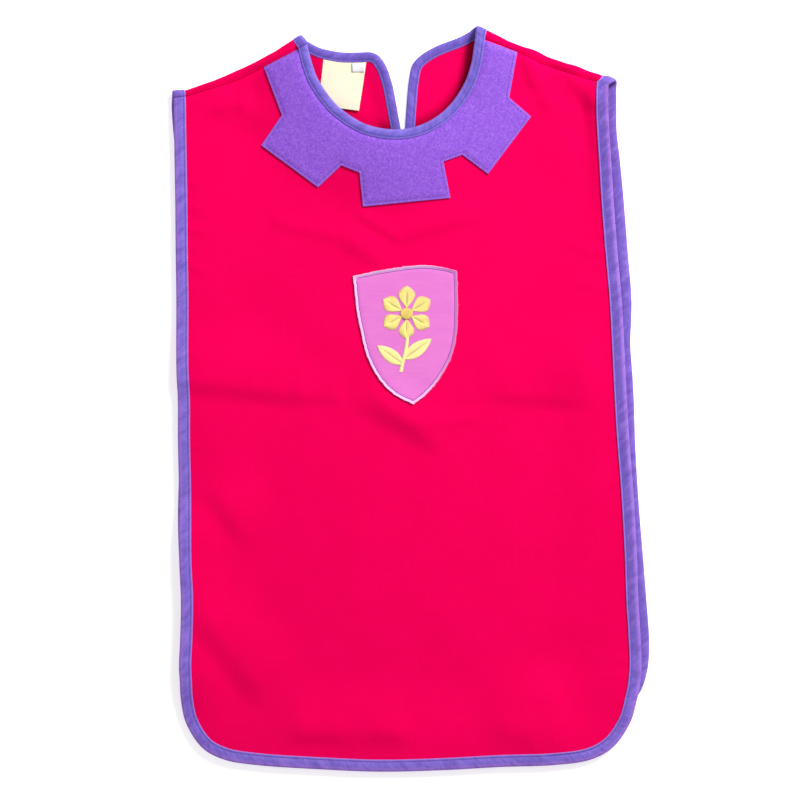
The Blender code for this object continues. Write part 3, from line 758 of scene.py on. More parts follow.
def flat_sheet(outline, rows, wall, round_edge=0.0, lattice=LATTICE):
    """A flat wall of cloth with this outline, with rows of points where it bends sharply."""
    lo = outline.min(0)
    hi = outline.max(0)
    grid = []
    for k, y in enumerate(np.arange(lo[1] + lattice / 2, hi[1], lattice * LATTICE_ROWS)):
        x = np.arange(lo[0] + lattice / 2 * (k % 2), hi[0], lattice)
        grid.append(np.column_stack((x, np.full(len(x), y))))
    grid = np.vstack(grid)
    closed = np.vstack((outline, outline[:1]))
    rows = [row[inside(row, outline)] for row in rows]
    rows = [row[distance(row, closed) > RIM_GAP] for row in rows if len(row)]
    grid = grid[inside(grid, outline)]
    grid = grid[distance(grid, closed) > lattice * LATTICE_GAP]
    for row in rows:
        if len(row) > 1:
            grid = grid[distance(grid, row) > lattice * LATTICE_GAP]
    points = np.vstack([outline, grid] + rows)
    ring = list(range(len(outline)))
    spots, _, faces, *_ = delaunay_2d_cdt([Vector(p) for p in points], [], [ring], 1, 1e-4)
    bm = bmesh.new()
    lower = [bm.verts.new((p.x, p.y, wall[0])) for p in spots]
    for face in faces:
        bm.faces.new([lower[i] for i in face])
    bmesh.ops.delete(bm, geom=[v for v in bm.verts if not v.link_faces], context="VERTS")
    grown(bm, (0, 0, wall[1] - wall[0]))
    bmesh.ops.recalc_face_normals(bm, faces=bm.faces)
    if round_edge:
        rim = [e for e in bm.edges if e.calc_face_angle(0) > 1.0
               and min(v.co.z for v in e.verts) > wall[1] - 0.01]
        bmesh.ops.bevel(bm, geom=rim, offset=round_edge, offset_type="OFFSET", segments=2,
                        profile=0.5, affect="EDGES", material=-1, clamp_overlap=True)
    return bm


def as_piece(name, bm, lay, finish, shape=None, cut=None, extra=None):
    """Lays a flat mesh in place and makes it a piece that rides on the garment."""
    mesh = bpy.data.meshes.new(name)
    bm.to_mesh(mesh)
    bm.free()
    flat = np.empty(len(mesh.vertices) * 3, np.float32)
    mesh.vertices.foreach_get("co", flat)
    flat = flat.reshape(-1, 3).astype(float)
    marks = {"cut": (flat if cut is None else cut) * MM}
    marks.update(extra(flat) if extra else {})
    if shape:
        flat = shape(flat)
    laid = lay(flat)
    laid[:, :2] -= CENTRE
    mesh.vertices.foreach_set("co", (laid * MM).astype(np.float32).ravel())
    for key, values in marks.items():
        kind, field = ("FLOAT_VECTOR", "vector") if values.ndim == 2 else ("FLOAT", "value")
        attribute = mesh.attributes.new(key, kind, "POINT")
        attribute.data.foreach_set(field, values.astype(np.float32).ravel())
    mesh.update()
    mesh.shade_smooth()
    obj = bpy.data.objects.new(name, mesh)
    bpy.context.collection.objects.link(obj)
    mesh.materials.append(finish)
    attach(obj, "root")
    return obj


def dense(corners, step):
    """The corners with points added along the ways between them, without the last one."""
    out = []
    corners = np.array(corners, float)
    for a, b in zip(corners, corners[1:]):
        count = max(1, round(np.linalg.norm(b - a) / step))
        out += [a + (b - a) * k / count for k in range(count)]
    return np.array(out)


def seam_dip(points, seams):
    """How far cloth sinks into the shoulder seams."""
    return SEAM_DIP * ease(nearest(points, *seams), 0.0, SEAM_REACH) ** 1.5


def neck_shade(flat):
    """How much the neck edge of the front shades the back beneath it."""
    right = FRONT_NECK_LINE[FRONT_NECK_LINE[:, 0] > NECK_LOWEST]
    left = FRONT_NECK_LINE[FRONT_NECK_LINE[:, 0] < NECK_LOWEST]
    return np.maximum(ease(distance(flat[:, :2], right), *NECK_SHADE_RIGHT),
                      0.3 * ease(distance(flat[:, :2], left), *NECK_SHADE_LEFT))


def panel(name, side, neck, seams, lay, finish, rows=()):
    """One of the two panels, sunk a little along its shoulder seams."""
    left, right = (resample(seam, STEP) for seam in seams)
    outline = np.vstack((
        side.at(WRAP), side.at(side.width)[-1:], left[::-1][1:-1], neck.at(neck.width)[:1],
        neck.at(WRAP), neck.at(neck.width)[-1:], right[1:-1], side.at(side.width)[:1]))
    rows = list(rows)
    for depth in SEAM_ROWS:
        for line in (left, right):
            for turned in (-1, 1):
                rows.append(line + inward(line) * depth * turned)

    def sink(flat):
        flat = flat.copy()
        flat[:, 2] -= seam_dip(flat[:, :2], (left, right)) * (1 if lay is lay_front else -1)
        return flat

    def marks(flat):
        # Painted shadow of the front's neck edge, on the inner skin of the back only
        inside_back = (flat[:, 2] > MID) & (lay is lay_back)
        return {"dim": neck_shade(flat) * inside_back}

    bm = flat_sheet(outline, rows, CLOTH_WALL)
    return as_piece(name, bm, lay, finish, shape=sink, extra=marks), outline


def ripple(along, depth, seed, strength):
    """Uneven fullness of a sewn tape, as slanting waves along it."""
    rng = random.Random(seed)
    total = 0
    for size, slant, beat in TAPE_WAVES:
        wave = np.sin(math.tau * ((along + slant * depth) / size) + rng.uniform(0, 6))
        total = total + wave * (0.55 + 0.45 * np.sin(math.tau * along / beat + rng.uniform(0, 6)))
    return strength * total


def tape(name, front, back, finish, seed, strength, over=0.0, dim=0.0, bead=0.0):
    """One folded tape along the front's edge, over the right shoulder and round the back's.

    Over lifts its upper leg over the collar, dim adds painted shade to the back's part, and bead
    lifts the end of that leg along the front's right side.
    """
    half = [(a, h, b, i) for a, h, b, i in TAPE_FOLD]
    half += [(front.width - a, h, front.width - b, i) for a, h, b, i in TAPE_LEG]
    full = np.array(half[::-1] + [(a, -h, b, -i) for a, h, b, i in half[1:]])
    unrolled = lengths(full[:, :2])
    count = len(front.path)
    along = np.concatenate((front.along, front.along[-1] + back.along[1:]))
    last = (len(along) - 1, len(full) - 1)
    bm = bmesh.new()
    bmesh.ops.create_grid(bm, x_segments=last[0], y_segments=last[1], size=1)
    inner = bm.verts.layers.int.new("inner")
    for v in grown(bm, (0, 0, 0)):
        v[inner] = 1
    spot = np.array([(v.co.x, v.co.y, v[inner]) for v in bm.verts])
    i = np.rint((spot[:, 0] + 1) / 2 * last[0]).astype(int)
    j = np.rint((spot[:, 1] + 1) / 2 * last[1]).astype(int)
    skin = spot[:, 2] > 0.5
    deep = np.where(skin, full[j, 2], full[j, 0])
    high = np.where(skin, full[j, 3], full[j, 1])
    high = high * (1 + ripple(along[i], deep, seed, strength))
    from_join = np.abs(along - front.along[-1])[i]
    back_part = i >= count
    upper = (j < len(half) - 1) & ~back_part
    from_end = front.width - deep
    high += over * upper * ease(from_end, *OVER_EASE) * (1 - ease(from_join, 0.0, 5.0))
    at_right = front.path[np.minimum(i, count - 1), 0] > SIDE_FROM
    high += bead * upper * ~skin * ease(from_end, *BEAD_EASE) * at_right * (
        1 - ease(from_join, 0.0, 8.0))
    plan = np.empty((len(i), 2))
    plan[~back_part] = front.at(deep[~back_part], i[~back_part])
    plan[back_part] = back.at(deep[back_part], i[back_part] - count + 1)
    flat = np.column_stack((plan, MID + np.where(back_part, -high, high)))
    laid = np.empty_like(flat)
    laid[~back_part] = lay_front(flat[~back_part])
    laid[back_part] = lay_back(flat[back_part])
    for v, place in zip(bm.verts, laid):
        v.co = place
    bmesh.ops.recalc_face_normals(bm, faces=bm.faces)
    share = np.clip(deep / front.width, 0, 1)
    x, down = flat[:, 0], -flat[:, 1]
    # Painted shade: the right side of the edge tape, deeper towards the shoulder, the back's part
    # near both shoulder folds, and by dim the whole back part of the neck tape
    shade = np.where(x > SIDE_FROM, ease(down, 170.0, -CORNERS_UP), 0)
    shade = shade * (0.46 + 0.44 * ease(down, -SHOULDERS_UP, -140.0))
    high_up = ease(down, -SHOULDERS_UP, -170.0)
    shade += back_part * (dim + 0.45 * high_up * (np.abs(x) > SIDE_FROM))
    return as_piece(name, bm, lambda places: places, finish,
                    cut=np.column_stack((along[i], unrolled[j], skin)),
                    extra=lambda _: {"across": share, "shade": np.clip(shade, 0, 1),
                                     "back": back_part.astype(float)})


def template(sides, rings):
    """A rounded stitch or thread along X, 2 long, of radius 1."""
    bm = bmesh.new()
    bmesh.ops.create_uvsphere(bm, u_segments=sides, v_segments=rings, radius=1,
                              matrix=Matrix.Rotation(math.pi / 2, 4, "Y"))
    return bm


def copies(bm, count):
    """As many copies of a mesh in itself; the layer "rank" counts them."""
    rank = bm.verts.layers.int.new("rank")
    have = 1
    while have < count:
        more = min(have, count - have)
        first = [v for v in bm.verts if v[rank] < more]
        edges = [e for e in bm.edges if e.verts[0][rank] < more]
        faces = [f for f in bm.faces if f.verts[0][rank] < more]
        made = bmesh.ops.duplicate(bm, geom=first + edges + faces)["geom"]
        for v in made:
            if isinstance(v, bmesh.types.BMVert):
                v[rank] += have
        have += more
    return rank


def threads(name, ends, lay, finish, radius, arch, lift, full=1.0, sides=6, rings=4):
    """One piece of many threads, each from one flat point, (across, up, n), to another."""
    bm = template(sides, rings)
    layer = copies(bm, len(ends))
    spot = np.array([v.co for v in bm.verts])
    rank = np.array([v[layer] for v in bm.verts])
    ends = np.array(ends, float)
    one, two = ends[rank, 0], ends[rank, 1]
    way = (two - one)[:, :2]
    way = way / np.linalg.norm(way, axis=1)[:, None]
    a = np.clip(spot[:, 0], -1, 1)
    ring = np.linalg.norm(spot[:, 1:], axis=1)
    grow = np.where(ring > 1e-6, np.minimum(ring * full, 1) / np.maximum(ring, 1e-6), 0)
    side = np.column_stack((-way[:, 1], way[:, 0]))
    middle = one + (two - one) * ((a + 1) / 2)[:, None]
    plan = middle[:, :2] + side * (spot[:, 1] * grow * radius[0])[:, None]
    n = middle[:, 2] + lift + arch * (1 - a**4) + spot[:, 2] * grow * radius[1]
    flat = np.column_stack((plan, n))
    length = np.linalg.norm(two - one, axis=1)
    cut = np.column_stack(((a + 1) / 2 * length, spot[:, 1] * radius[0], rank))
    for v, place in zip(bm.verts, flat):
        v.co = place
    bmesh.ops.recalc_face_normals(bm, faces=bm.faces)
    return as_piece(name, bm, lay, finish, cut=cut)


def stitch_ends(path, n, pitch, length, first=2.0):
    """The ends of the stitches along a flat path."""
    path = np.array(path, float)
    along = lengths(path)
    out = []
    at = first
    while at + length < along[-1] - first:
        pair = []
        for d in (at, at + length):
            pair.append([np.interp(d, along, path[:, k]) for k in (0, 1)] + [n])
        out.append(pair)
        at += pitch
    return out


def inset(corners, depth, closed):
    """The outline moved in to its right-hand side by a depth, with its corners kept."""
    p = np.array(corners, float)
    count = len(p)
    out = []
    for i in range(count):
        ways = []
        if closed or i > 0:
            ways.append(unit(p[i] - p[i - 1]))
        if closed or i < count - 1:
            ways.append(unit(p[(i + 1) % count] - p[i]))
        sides = [np.array((w[1], -w[0])) for w in ways]
        total = unit(sum(sides))
        out.append(p[i] + total * depth / max(0.35, float(total @ sides[0])))
    return np.array(out)


def thinned(path, gap):
    """The path without points that lie closer than a gap to the one before."""
    kept = [path[0]]
    for point in path[1:]:
        if np.linalg.norm(point - kept[-1]) > gap:
            kept.append(point)
    return np.array(kept)


# Finishes

class Value:
    """Something that varies over a surface, as a socket of a shader tree."""

    def __init__(self, tree, socket):
        self.tree = tree
        self.socket = socket

    def made(self, operation, first, second=None):
        """The outcome of a Math node."""
        node = self.tree.nodes.new("ShaderNodeMath")
        node.operation = operation
        for item, slot in zip((first, second), node.inputs):
            if isinstance(item, Value):
                self.tree.links.new(item.socket, slot)
            elif item is not None:
                slot.default_value = item
        return Value(self.tree, node.outputs[0])

    def __add__(self, other):
        return self.made("ADD", self, other)

    def __radd__(self, other):
        return self.made("ADD", other, self)

    def __sub__(self, other):
        return self.made("SUBTRACT", self, other)

    def __rsub__(self, other):
        return self.made("SUBTRACT", other, self)

    def __mul__(self, other):
        return self.made("MULTIPLY", self, other)

    def __rmul__(self, other):
        return self.made("MULTIPLY", other, self)

    def __truediv__(self, other):
        return self.made("DIVIDE", self, other)

    def __rtruediv__(self, other):
        return self.made("DIVIDE", other, self)

    def sine(self):
        """Its sine."""
        return self.made("SINE", self)

    def between(self, low, high):
        """0 up to low and 1 from high on, with a smooth slope between."""
        node = self.tree.nodes.new("ShaderNodeMapRange")
        node.interpolation_type = "SMOOTHSTEP"
        self.tree.links.new(self.socket, node.inputs["Value"])
        node.inputs["From Min"].default_value = low
        node.inputs["From Max"].default_value = high
        return Value(self.tree, node.outputs["Result"])


class Finish:
    """The look of one kind of cloth or thread."""

    def __init__(self, title, **sockets):
        self.material = bpy.data.materials.new(title)
        self.material.use_nodes = True
        self.tree = self.material.node_tree
        self.shader = self.tree.nodes["Principled BSDF"]
        for name, value in sockets.items():
            self.shader.inputs[name.replace("_", " ")].default_value = value

    def node(self, kind, settings=None, sockets=None, out=0):
        """A node with its settings, then the values or links of its sockets."""
        node = self.tree.nodes.new(kind)
        for name, value in (settings or {}).items():
            setattr(node, name, value)
        for name, value in (sockets or {}).items():
            if isinstance(value, Value):
                self.tree.links.new(value.socket, node.inputs[name])
            else:
                node.inputs[name].default_value = value
        return Value(self.tree, node.outputs[out])

    def mark(self, name, out):
        """A value that the piece carries: a vector, or a number."""
        return self.node("ShaderNodeAttribute", {"attribute_name": name}, out=out)

    def cut(self):
        """Place in the flat cloth, in metres: the vector, and how far across and up."""
        vector = self.mark("cut", "Vector")
        parts = self.tree.nodes.new("ShaderNodeSeparateXYZ")
        self.tree.links.new(vector.socket, parts.inputs[0])
        return vector, Value(self.tree, parts.outputs[0]), Value(self.tree, parts.outputs[1])

    def grain(self, vector, scale, stretch=(1, 1, 1), turn=0.0, detail=3.0, roughness=0.6):
        """Noise from 0 to 1, drawn out and turned in the cloth."""
        place = self.node("ShaderNodeMapping", {"vector_type": "TEXTURE"}, {
            "Vector": vector, "Rotation": (0, 0, turn), "Scale": [1 / s for s in stretch]})
        return self.node("ShaderNodeTexNoise", None, {
            "Vector": place, "Scale": scale, "Detail": detail, "Roughness": roughness})

    def blend(self, share, one, two):
        """A colour between two."""
        return self.node("ShaderNodeMix", {"data_type": "RGBA"}, {
            0: share, 6: one if isinstance(one, Value) else (*one, 1),
            7: two if isinstance(two, Value) else (*two, 1)}, out=2)

    def paint(self, colour):
        """Colours the surface."""
        self.tree.links.new(colour.socket, self.shader.inputs["Base Color"])

    def raise_by(self, height, depth, strength=1.0):
        """Fine relief, with its full depth in metres."""
        bump = self.node("ShaderNodeBump", None, {
            "Height": height, "Distance": depth, "Strength": strength})
        self.tree.links.new(bump.socket, self.shader.inputs["Normal"])


def turns(value, pitch, phase=0.0):
    """A wave from -1 to 1 that repeats after so many metres."""
    return (value * (math.tau / pitch) + phase).sine()


def cloth_finish():
    """Closely woven costume cloth, nearly without gloss."""
    finish = Finish("Crimson pink cloth", Roughness=0.8, Specular_IOR_Level=0.01,
                    Sheen_Weight=0.03, Sheen_Roughness=0.5, Sheen_Tint=(1, 0.02, 0.20, 1))
    vector, across, up = finish.cut()
    slub = finish.grain(vector, 420, (1, 0.12, 1), detail=2)
    slub = slub * 0.5 + finish.grain(vector, 420, (0.12, 1, 1), detail=2) * 0.5
    cloudy = finish.grain(vector, 18, detail=3)
    share = slub.between(0.36, 0.62) * 0.30 + cloudy.between(0.35, 0.65) * 0.30
    colour = finish.blend(share, CRIMSON, CRIMSON_DEEP)
    # Painted shadow of the front's neck edge on the inside of the back, by the mark dim
    finish.paint(finish.blend(finish.mark("dim", "Fac") * 0.8, colour, CRIMSON_SHADE))
    weave = turns(across, CLOTH_WEAVE) * turns(up, CLOTH_WEAVE)
    finish.raise_by(weave * 0.35 + slub, 0.00012, 0.6)
    return finish.material


def tape_finish(title, main, blue, pink, pale, deep):
    """Folded bias tape: slanting weave, a pink painted sheen at its fold, a painted highlight at
    its sewn edge.
    """
    finish = Finish(title, Roughness=0.5, Specular_IOR_Level=0.14, Sheen_Weight=0.10,
                    Sheen_Roughness=0.4, Sheen_Tint=(0.75, 0.65, 1, 1))
    vector, along, over = finish.cut()
    across = finish.mark("across", "Fac")
    weave = turns(along + over, TAPE_WEAVE) * turns(along - over, TAPE_WEAVE)
    fibre = finish.grain(vector, 500, (0.25, 1, 1), 0.8, detail=2)
    patchy = finish.grain(vector, 230, (0.45, 1, 1), 0.9, detail=3, roughness=0.55)
    broad = finish.grain(vector, 50, (0.5, 1, 1), 0.5)
    painted_creases = finish.grain(vector, 150, (0.4, 1, 1), 0.85, detail=3, roughness=0.6)
    sunk = across.between(0.66, 0.78) * (1 - across.between(0.84, 0.90))
    edge = across.between(0.86, 0.95)
    fold = (1 - across.between(0.20, 0.36)) * (1 - finish.mark("back", "Fac") * 0.75)
    colour = finish.blend(patchy.between(0.40, 0.62) * 0.80, main, blue)
    colour = finish.blend(broad.between(0.4, 0.7) * 0.35, colour, blue)
    shade = finish.mark("shade", "Fac")
    # Painted shade where the shade mark lies, away from the fold and the sewn edge
    colour = finish.blend(shade * (1 - fold) * (1 - edge) * 0.62, colour, deep)
    # Painted sheen: the fold is pinker, turning plum where painted shade lies on it
    fold_sheen = finish.blend(shade.between(0.35, 0.85) * 0.8, pink, SHEEN_IN_SHADE)
    colour = finish.blend(fold * (0.50 + patchy * 0.3 + shade * 0.18), colour, fold_sheen)
    # Painted creases: slanting streaks of painted shade and painted light
    colour = finish.blend((1 - painted_creases.between(0.38, 0.50)) * 0.42, colour, deep)
    colour = finish.blend(painted_creases.between(0.52, 0.64) * 0.40, colour, pale)
    # Painted shade in the sunk stitch line
    colour = finish.blend(sunk * 0.6, colour, blue)
    # Painted highlight on the raised bead at the sewn edge
    colour = finish.blend(edge * 0.75, colour, pale)
    colour = finish.blend(fibre.between(0.45, 0.75) * 0.18, colour, pale)
    finish.paint(colour)
    finish.raise_by(weave * 0.07 + fibre * 0.8 + patchy * 2.6, 0.00036, 0.7)
    return finish.material


def felt_finish():
    """Matt felt of mixed fibres, a little paler at its cut edge."""
    finish = Finish("Heathered purple felt", Roughness=1.0, Specular_IOR_Level=0.0,
                    Sheen_Weight=0.10, Sheen_Roughness=0.7, Sheen_Tint=(0.8, 0.6, 1, 1))
    vector, _, _ = finish.cut()
    fibres = [finish.grain(vector, 900, (0.42, 1, 1), turn, 4, 0.65)
              for turn in (0.2, 0.9, 1.6, 2.4)]
    nap = (fibres[0] + fibres[1] + fibres[2] + fibres[3]) / 4
    clumps = finish.grain(vector, 300, detail=4, roughness=0.7)
    colour = finish.blend(nap.between(0.50, 0.60), FELT_MID, FELT_PALE)
    colour = finish.blend((1 - nap.between(0.41, 0.50)) * 0.9, colour, FELT_DARK)
    colour = finish.blend(clumps.between(0.45, 0.7) * 0.30, colour, FELT_PALE)
    colour = finish.blend(finish.mark("rim", "Fac") * 0.30, colour, FELT_RIM)
    finish.paint(colour)
    finish.raise_by(nap + clumps * 0.6, 0.0004, 0.8)
    return finish.material


def patch_finish():
    """Finely ribbed patch cloth, paler where its edge is overcast, and paler still by painted
    light except on its right side.
    """
    finish = Finish("Lilac patch", Roughness=0.7, Specular_IOR_Level=0.1, Sheen_Weight=0.08,
                    Sheen_Tint=(1, 0.7, 0.95, 1))
    vector, _, up = finish.cut()
    rib = turns(up, PATCH_RIB) * 0.5 + 0.5
    yarn = finish.grain(vector, 600, (0.15, 1, 1), detail=2)
    cloudy = finish.grain(vector, 70, (0.4, 1, 1), detail=4)
    share = rib * 0.15 + yarn.between(0.4, 0.7) * 0.25 + cloudy.between(0.42, 0.62) * 0.35
    colour = finish.blend(share, LILAC, LILAC_DEEP)
    # The overcast edge is paler; more so, as painted light, except on the shield's right side
    rim = finish.mark("rim", "Fac")
    colour = finish.blend(rim * finish.mark("pale", "Fac"), colour, LILAC_PALE)
    finish.paint(colour)
    overcast = turns(finish.mark("around", "Fac"), OVERCAST_PITCH) * rim
    finish.raise_by(rib * 0.3 + yarn * 0.8 + overcast * 0.6, 0.00022, 0.7)
    return finish.material


def label_finish(title, colour, shade):
    """Smooth woven label."""
    finish = Finish(title, Roughness=0.5, Specular_IOR_Level=0.25)
    vector, across, up = finish.cut()
    weave = turns(across, LABEL_WEAVE) * turns(up, LABEL_WEAVE)
    yarn = finish.grain(vector, 700, (1, 0.15, 1), detail=2)
    finish.paint(finish.blend(yarn.between(0.4, 0.7) * 0.3, colour, shade))
    finish.raise_by(weave * 0.4 + yarn, 0.00008, 0.6)
    return finish.material


def thread_finish(title, colour, shade, gloss):
    """Twisted sewing or embroidery thread."""
    finish = Finish(title, Roughness=0.45, Specular_IOR_Level=gloss, Sheen_Weight=0.1)
    vector, along, around = finish.cut()
    twist = turns(along + around * 1.6, THREAD_TWIST) * 0.5 + 0.5
    tone = finish.grain(vector, 90, detail=2)
    finish.paint(finish.blend(twist * 0.35 + tone.between(0.4, 0.65) * 0.4, colour, shade))
    finish.raise_by(twist, 0.00008, 0.6)
    return finish.material


CLOTH_FINISH = cloth_finish()
EDGE_FINISH = tape_finish("Violet edge tape", VIOLET, VIOLET_BLUE, VIOLET_SHEEN, VIOLET_LIGHT,
                          VIOLET_SHADE)
NECK_FINISH = tape_finish("Violet neck tape", NECK_VIOLET, NECK_BLUE, NECK_SHEEN, NECK_LIGHT,
                          VIOLET_SHADE)
FELT_FINISH = felt_finish()
PATCH_FINISH = patch_finish()
LABEL_FINISH = label_finish("Cream label", CREAM, CREAM_SHADE)
TAB_FINISH = label_finish("White tab", WHITE, WHITE_SHADE)
SEWING_FINISH = thread_finish("Violet sewing thread", DARK_VIOLET, DARKEST_VIOLET, 0.2)
GOLD_FINISH = thread_finish("Yellow embroidery thread", YELLOW, YELLOW_DEEP, 0.3)
PALE_GOLD_FINISH = thread_finish("Pale yellow embroidery thread", YELLOW_PALE, YELLOW, 0.3)
HEART_FINISH = thread_finish("Deep yellow embroidery thread", YELLOW_DEEP, OCHRE, 0.3)

# Taped edges
front_side = taped_edge(FRONT_SIDE, EDGE_WIDTH, False, (SEAM_RIGHT, SEAM_LEFT))
front_neck = taped_edge(FRONT_NECK_LINE, NECK_WIDTH, True, (SEAM_LEFT, SEAM_RIGHT))
back_side = taped_edge(BACK_SIDE, EDGE_WIDTH, False, (SEAM_RIGHT, SEAM_LEFT), (RIGHT, LEFT))
back_neck = taped_edge(BACK_NECK_LINE, NECK_WIDTH, True, (SEAM_LEFT, SEAM_RIGHT), (LEFT, RIGHT))
front_seams = [np.array(rows) - GAP_UP for rows in (SEAM_LEFT, SEAM_RIGHT)]
back_seams = [fold.unroll(resample(np.array(rows) + GAP_UP, 2.0))
              for fold, rows in ((LEFT, SEAM_LEFT), (RIGHT, SEAM_RIGHT))]


def run_back(edge):
    """The same edge, run the other way."""
    edge.path = edge.path[::-1]
    edge.into = edge.into[::-1]
    edge.along = edge.along[-1] - edge.along[::-1]
    edge.turns = [(share[::-1], *rest) for share, *rest in edge.turns]
    return edge


front_panel, front_outline = panel("front_cloth", front_side, front_neck, front_seams, lay_front,
                                   CLOTH_FINISH)
back_panel, back_outline = panel("back_cloth", back_side, back_neck, back_seams, lay_back,
                                 CLOTH_FINISH, LEFT.rows() + RIGHT.rows())
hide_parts("front_panel")
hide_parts("back_panel")

# Folded tapes: front edge from the left shoulder seam to the right one, then the back's edge
edge_tape = tape("edge_tape", run_back(front_side), back_side, EDGE_FINISH, 5, 0.055, bead=0.6)
# The back part of the neck tape gets painted shade by dim
neck_tape = tape("neck_tape", front_neck, run_back(back_neck), NECK_FINISH, 9, 0.035,
                 over=NECK_OVER, dim=0.40)
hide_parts("edge_binding")
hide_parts("neck_binding")


# Felt collar, caught under the neck tape and in the shoulder seams
FELT_INSET = 2.6
FELT_PRESS = 0.62
FELT_SEWN_PRESS = 0.32
FELT_SEAM_PRESS = 0.7
FELT_STEP = 2.0


def collar_lines():
    """Outline of the felt collar, and its line of sewing."""
    ends = (seam_way(SEAM_LEFT, True), seam_way(SEAM_RIGHT, True))
    path = FRONT_NECK_LINE + inward(FRONT_NECK_LINE, ends) * (NECK_WIDTH - 2.0)
    seams = []
    for rows in (SEAM_LEFT, SEAM_RIGHT):
        rows = np.array(sorted(rows))
        seams.append(lambda x, rows=rows: np.interp(x, rows[:, 0], rows[:, 1]) - AIR / 2)
    below = np.where(path[:, 0] < MIDDLE, seams[0](path[:, 0]), seams[1](path[:, 0])) > path[:, 1]
    path = resample(path[below], 1.5)
    tabs = [list(p) for p in COLLAR_TABS]
    tabs[0][1] = seams[0](tabs[0][0])
    tabs[-1][1] = seams[1](tabs[-1][0])
    start = (path[0][0], seams[0](path[0][0]))
    end = (path[-1][0], seams[1](path[-1][0]))
    rim = dense([end] + tabs[::-1] + [start, start], 1.6)
    sewn = resample(inset(np.array(tabs)[::-1], FELT_INSET, False), 0.5)
    return np.vstack((path[1:-1], rim)), sewn, np.array(tabs)


collar_outline, collar_sewn, collar_tabs = collar_lines()
neck_leg = FRONT_NECK_LINE + inward(FRONT_NECK_LINE) * NECK_WIDTH


def shape_felt(flat):
    """Pressed thin under the neck tape and at the seams, and a little along its sewing."""
    flat = flat.copy()
    plan = flat[:, :2]
    press = FELT_PRESS * ease(distance(plan, neck_leg), 0.2, 3.4)
    under = distance(plan, FRONT_NECK_LINE) < NECK_WIDTH
    press = np.where(under, FELT_PRESS, press)
    press = np.maximum(press, FELT_SEWN_PRESS * ease(distance(plan, collar_sewn), 0.15, 1.5))
    dip = seam_dip(plan, [resample(rows, STEP) for rows in front_seams])
    press = np.maximum(press, FELT_SEAM_PRESS * dip / SEAM_DIP)
    flat[:, 2] = FELT_WALL[0] + (flat[:, 2] - FELT_WALL[0]) * (1 - press) - dip
    return flat


rows = [resample(collar_sewn, FELT_STEP)]
for depth in (0.9, 1.9):
    rows.append(resample(inset(collar_tabs[::-1], FELT_INSET + depth, False), FELT_STEP))
for depth in (NECK_WIDTH + 0.8, NECK_WIDTH + 2.0, NECK_WIDTH + 3.4):
    rows.append(resample(FRONT_NECK_LINE + inward(FRONT_NECK_LINE) * depth, FELT_STEP))
for line in front_seams:
    line = resample(line, FELT_STEP)
    for depth in SEAM_ROWS:
        rows += [line + inward(line) * depth, line - inward(line) * depth]
collar = as_piece(
    "collar", flat_sheet(collar_outline, rows, FELT_WALL, 0.35, 2.6), lay_front, FELT_FINISH,
    shape=shape_felt,
    extra=lambda flat: {"rim": ease(distance(flat[:, :2], collar_tabs), 0.25, 1.5)})
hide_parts("felt_collar")

# Shield patch, with its edge turned up a little outside its sewing
SHIELD_INSET = 2.8
SHIELD_MIDDLE = (-4, 60)
SHIELD_RADIUS = 50
SHIELD_UNEVEN = 0.38
SHIELD_RISE = 1.0
SHIELD_SUNK = 0.38
shield_outline = np.vstack((
    spline(SHIELD_TOP, 12)[:-1],
    spline([SHIELD_TOP[-1]] + [(right, up) for up, _, right in SHIELD_SIDES] + [SHIELD_TIP],
           8)[:-1],
    spline([SHIELD_TIP] + [(left, up) for up, left, _ in reversed(SHIELD_SIDES)]
           + [SHIELD_TOP[0]], 8)[:-1]))
shield_outline = resample(np.vstack((shield_outline, shield_outline[:1])), 1.4)[:-1]
uneven = [SHIELD_UNEVEN * noise.noise(Vector((x / 2.3, y / 2.3, 5.5))) for x, y in shield_outline]
shield_outline = shield_outline + inward(shield_outline) * np.array(uneven)[:, None]
shield_ring = np.vstack((shield_outline, shield_outline[:1]))


def inner_ring(depth):
    """A line inside the shield's edge, at even depth."""
    path = resample(shield_ring, 0.7)
    points = path + inward(path) * depth
    keep = distance(points, shield_ring) > depth - 0.05
    return thinned(points[keep], 0.4)


shield_sewn = inner_ring(SHIELD_INSET)
shield_sewn = np.vstack((shield_sewn, shield_sewn[:1]))


def shape_shield(flat):
    """Sunk along its sewing, with its overcast edge turned up."""
    flat = flat.copy()
    deep = distance(flat[:, :2], shield_ring)
    flat[:, 2] += SHIELD_RISE * ease(deep, 0.0, 2.5)
    flat[:, 2] -= SHIELD_SUNK * ease(np.abs(deep - SHIELD_INSET), 0.0, 1.3)
    return flat


rows = [inner_ring(depth) for depth in (0.9, 1.8, SHIELD_INSET, 3.6, 4.6)]
shield = as_piece(
    "shield", flat_sheet(shield_outline, rows, PATCH_WALL, 0.25, 2.6), lay_front, PATCH_FINISH,
    shape=shape_shield,
    extra=lambda flat: {
        "rim": ease(distance(flat[:, :2], shield_ring), SHIELD_INSET - 0.8, SHIELD_INSET - 0.2),
        # Painted light: the overcast edge is paler except on its right side
        "pale": 0.25 + 0.75 * ease(flat[:, 0], 14.0, 38.0),
        "around": np.abs(np.arctan2(*(flat[:, :2] - SHIELD_MIDDLE).T)) * SHIELD_RADIUS * MM})
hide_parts("shield_patch")

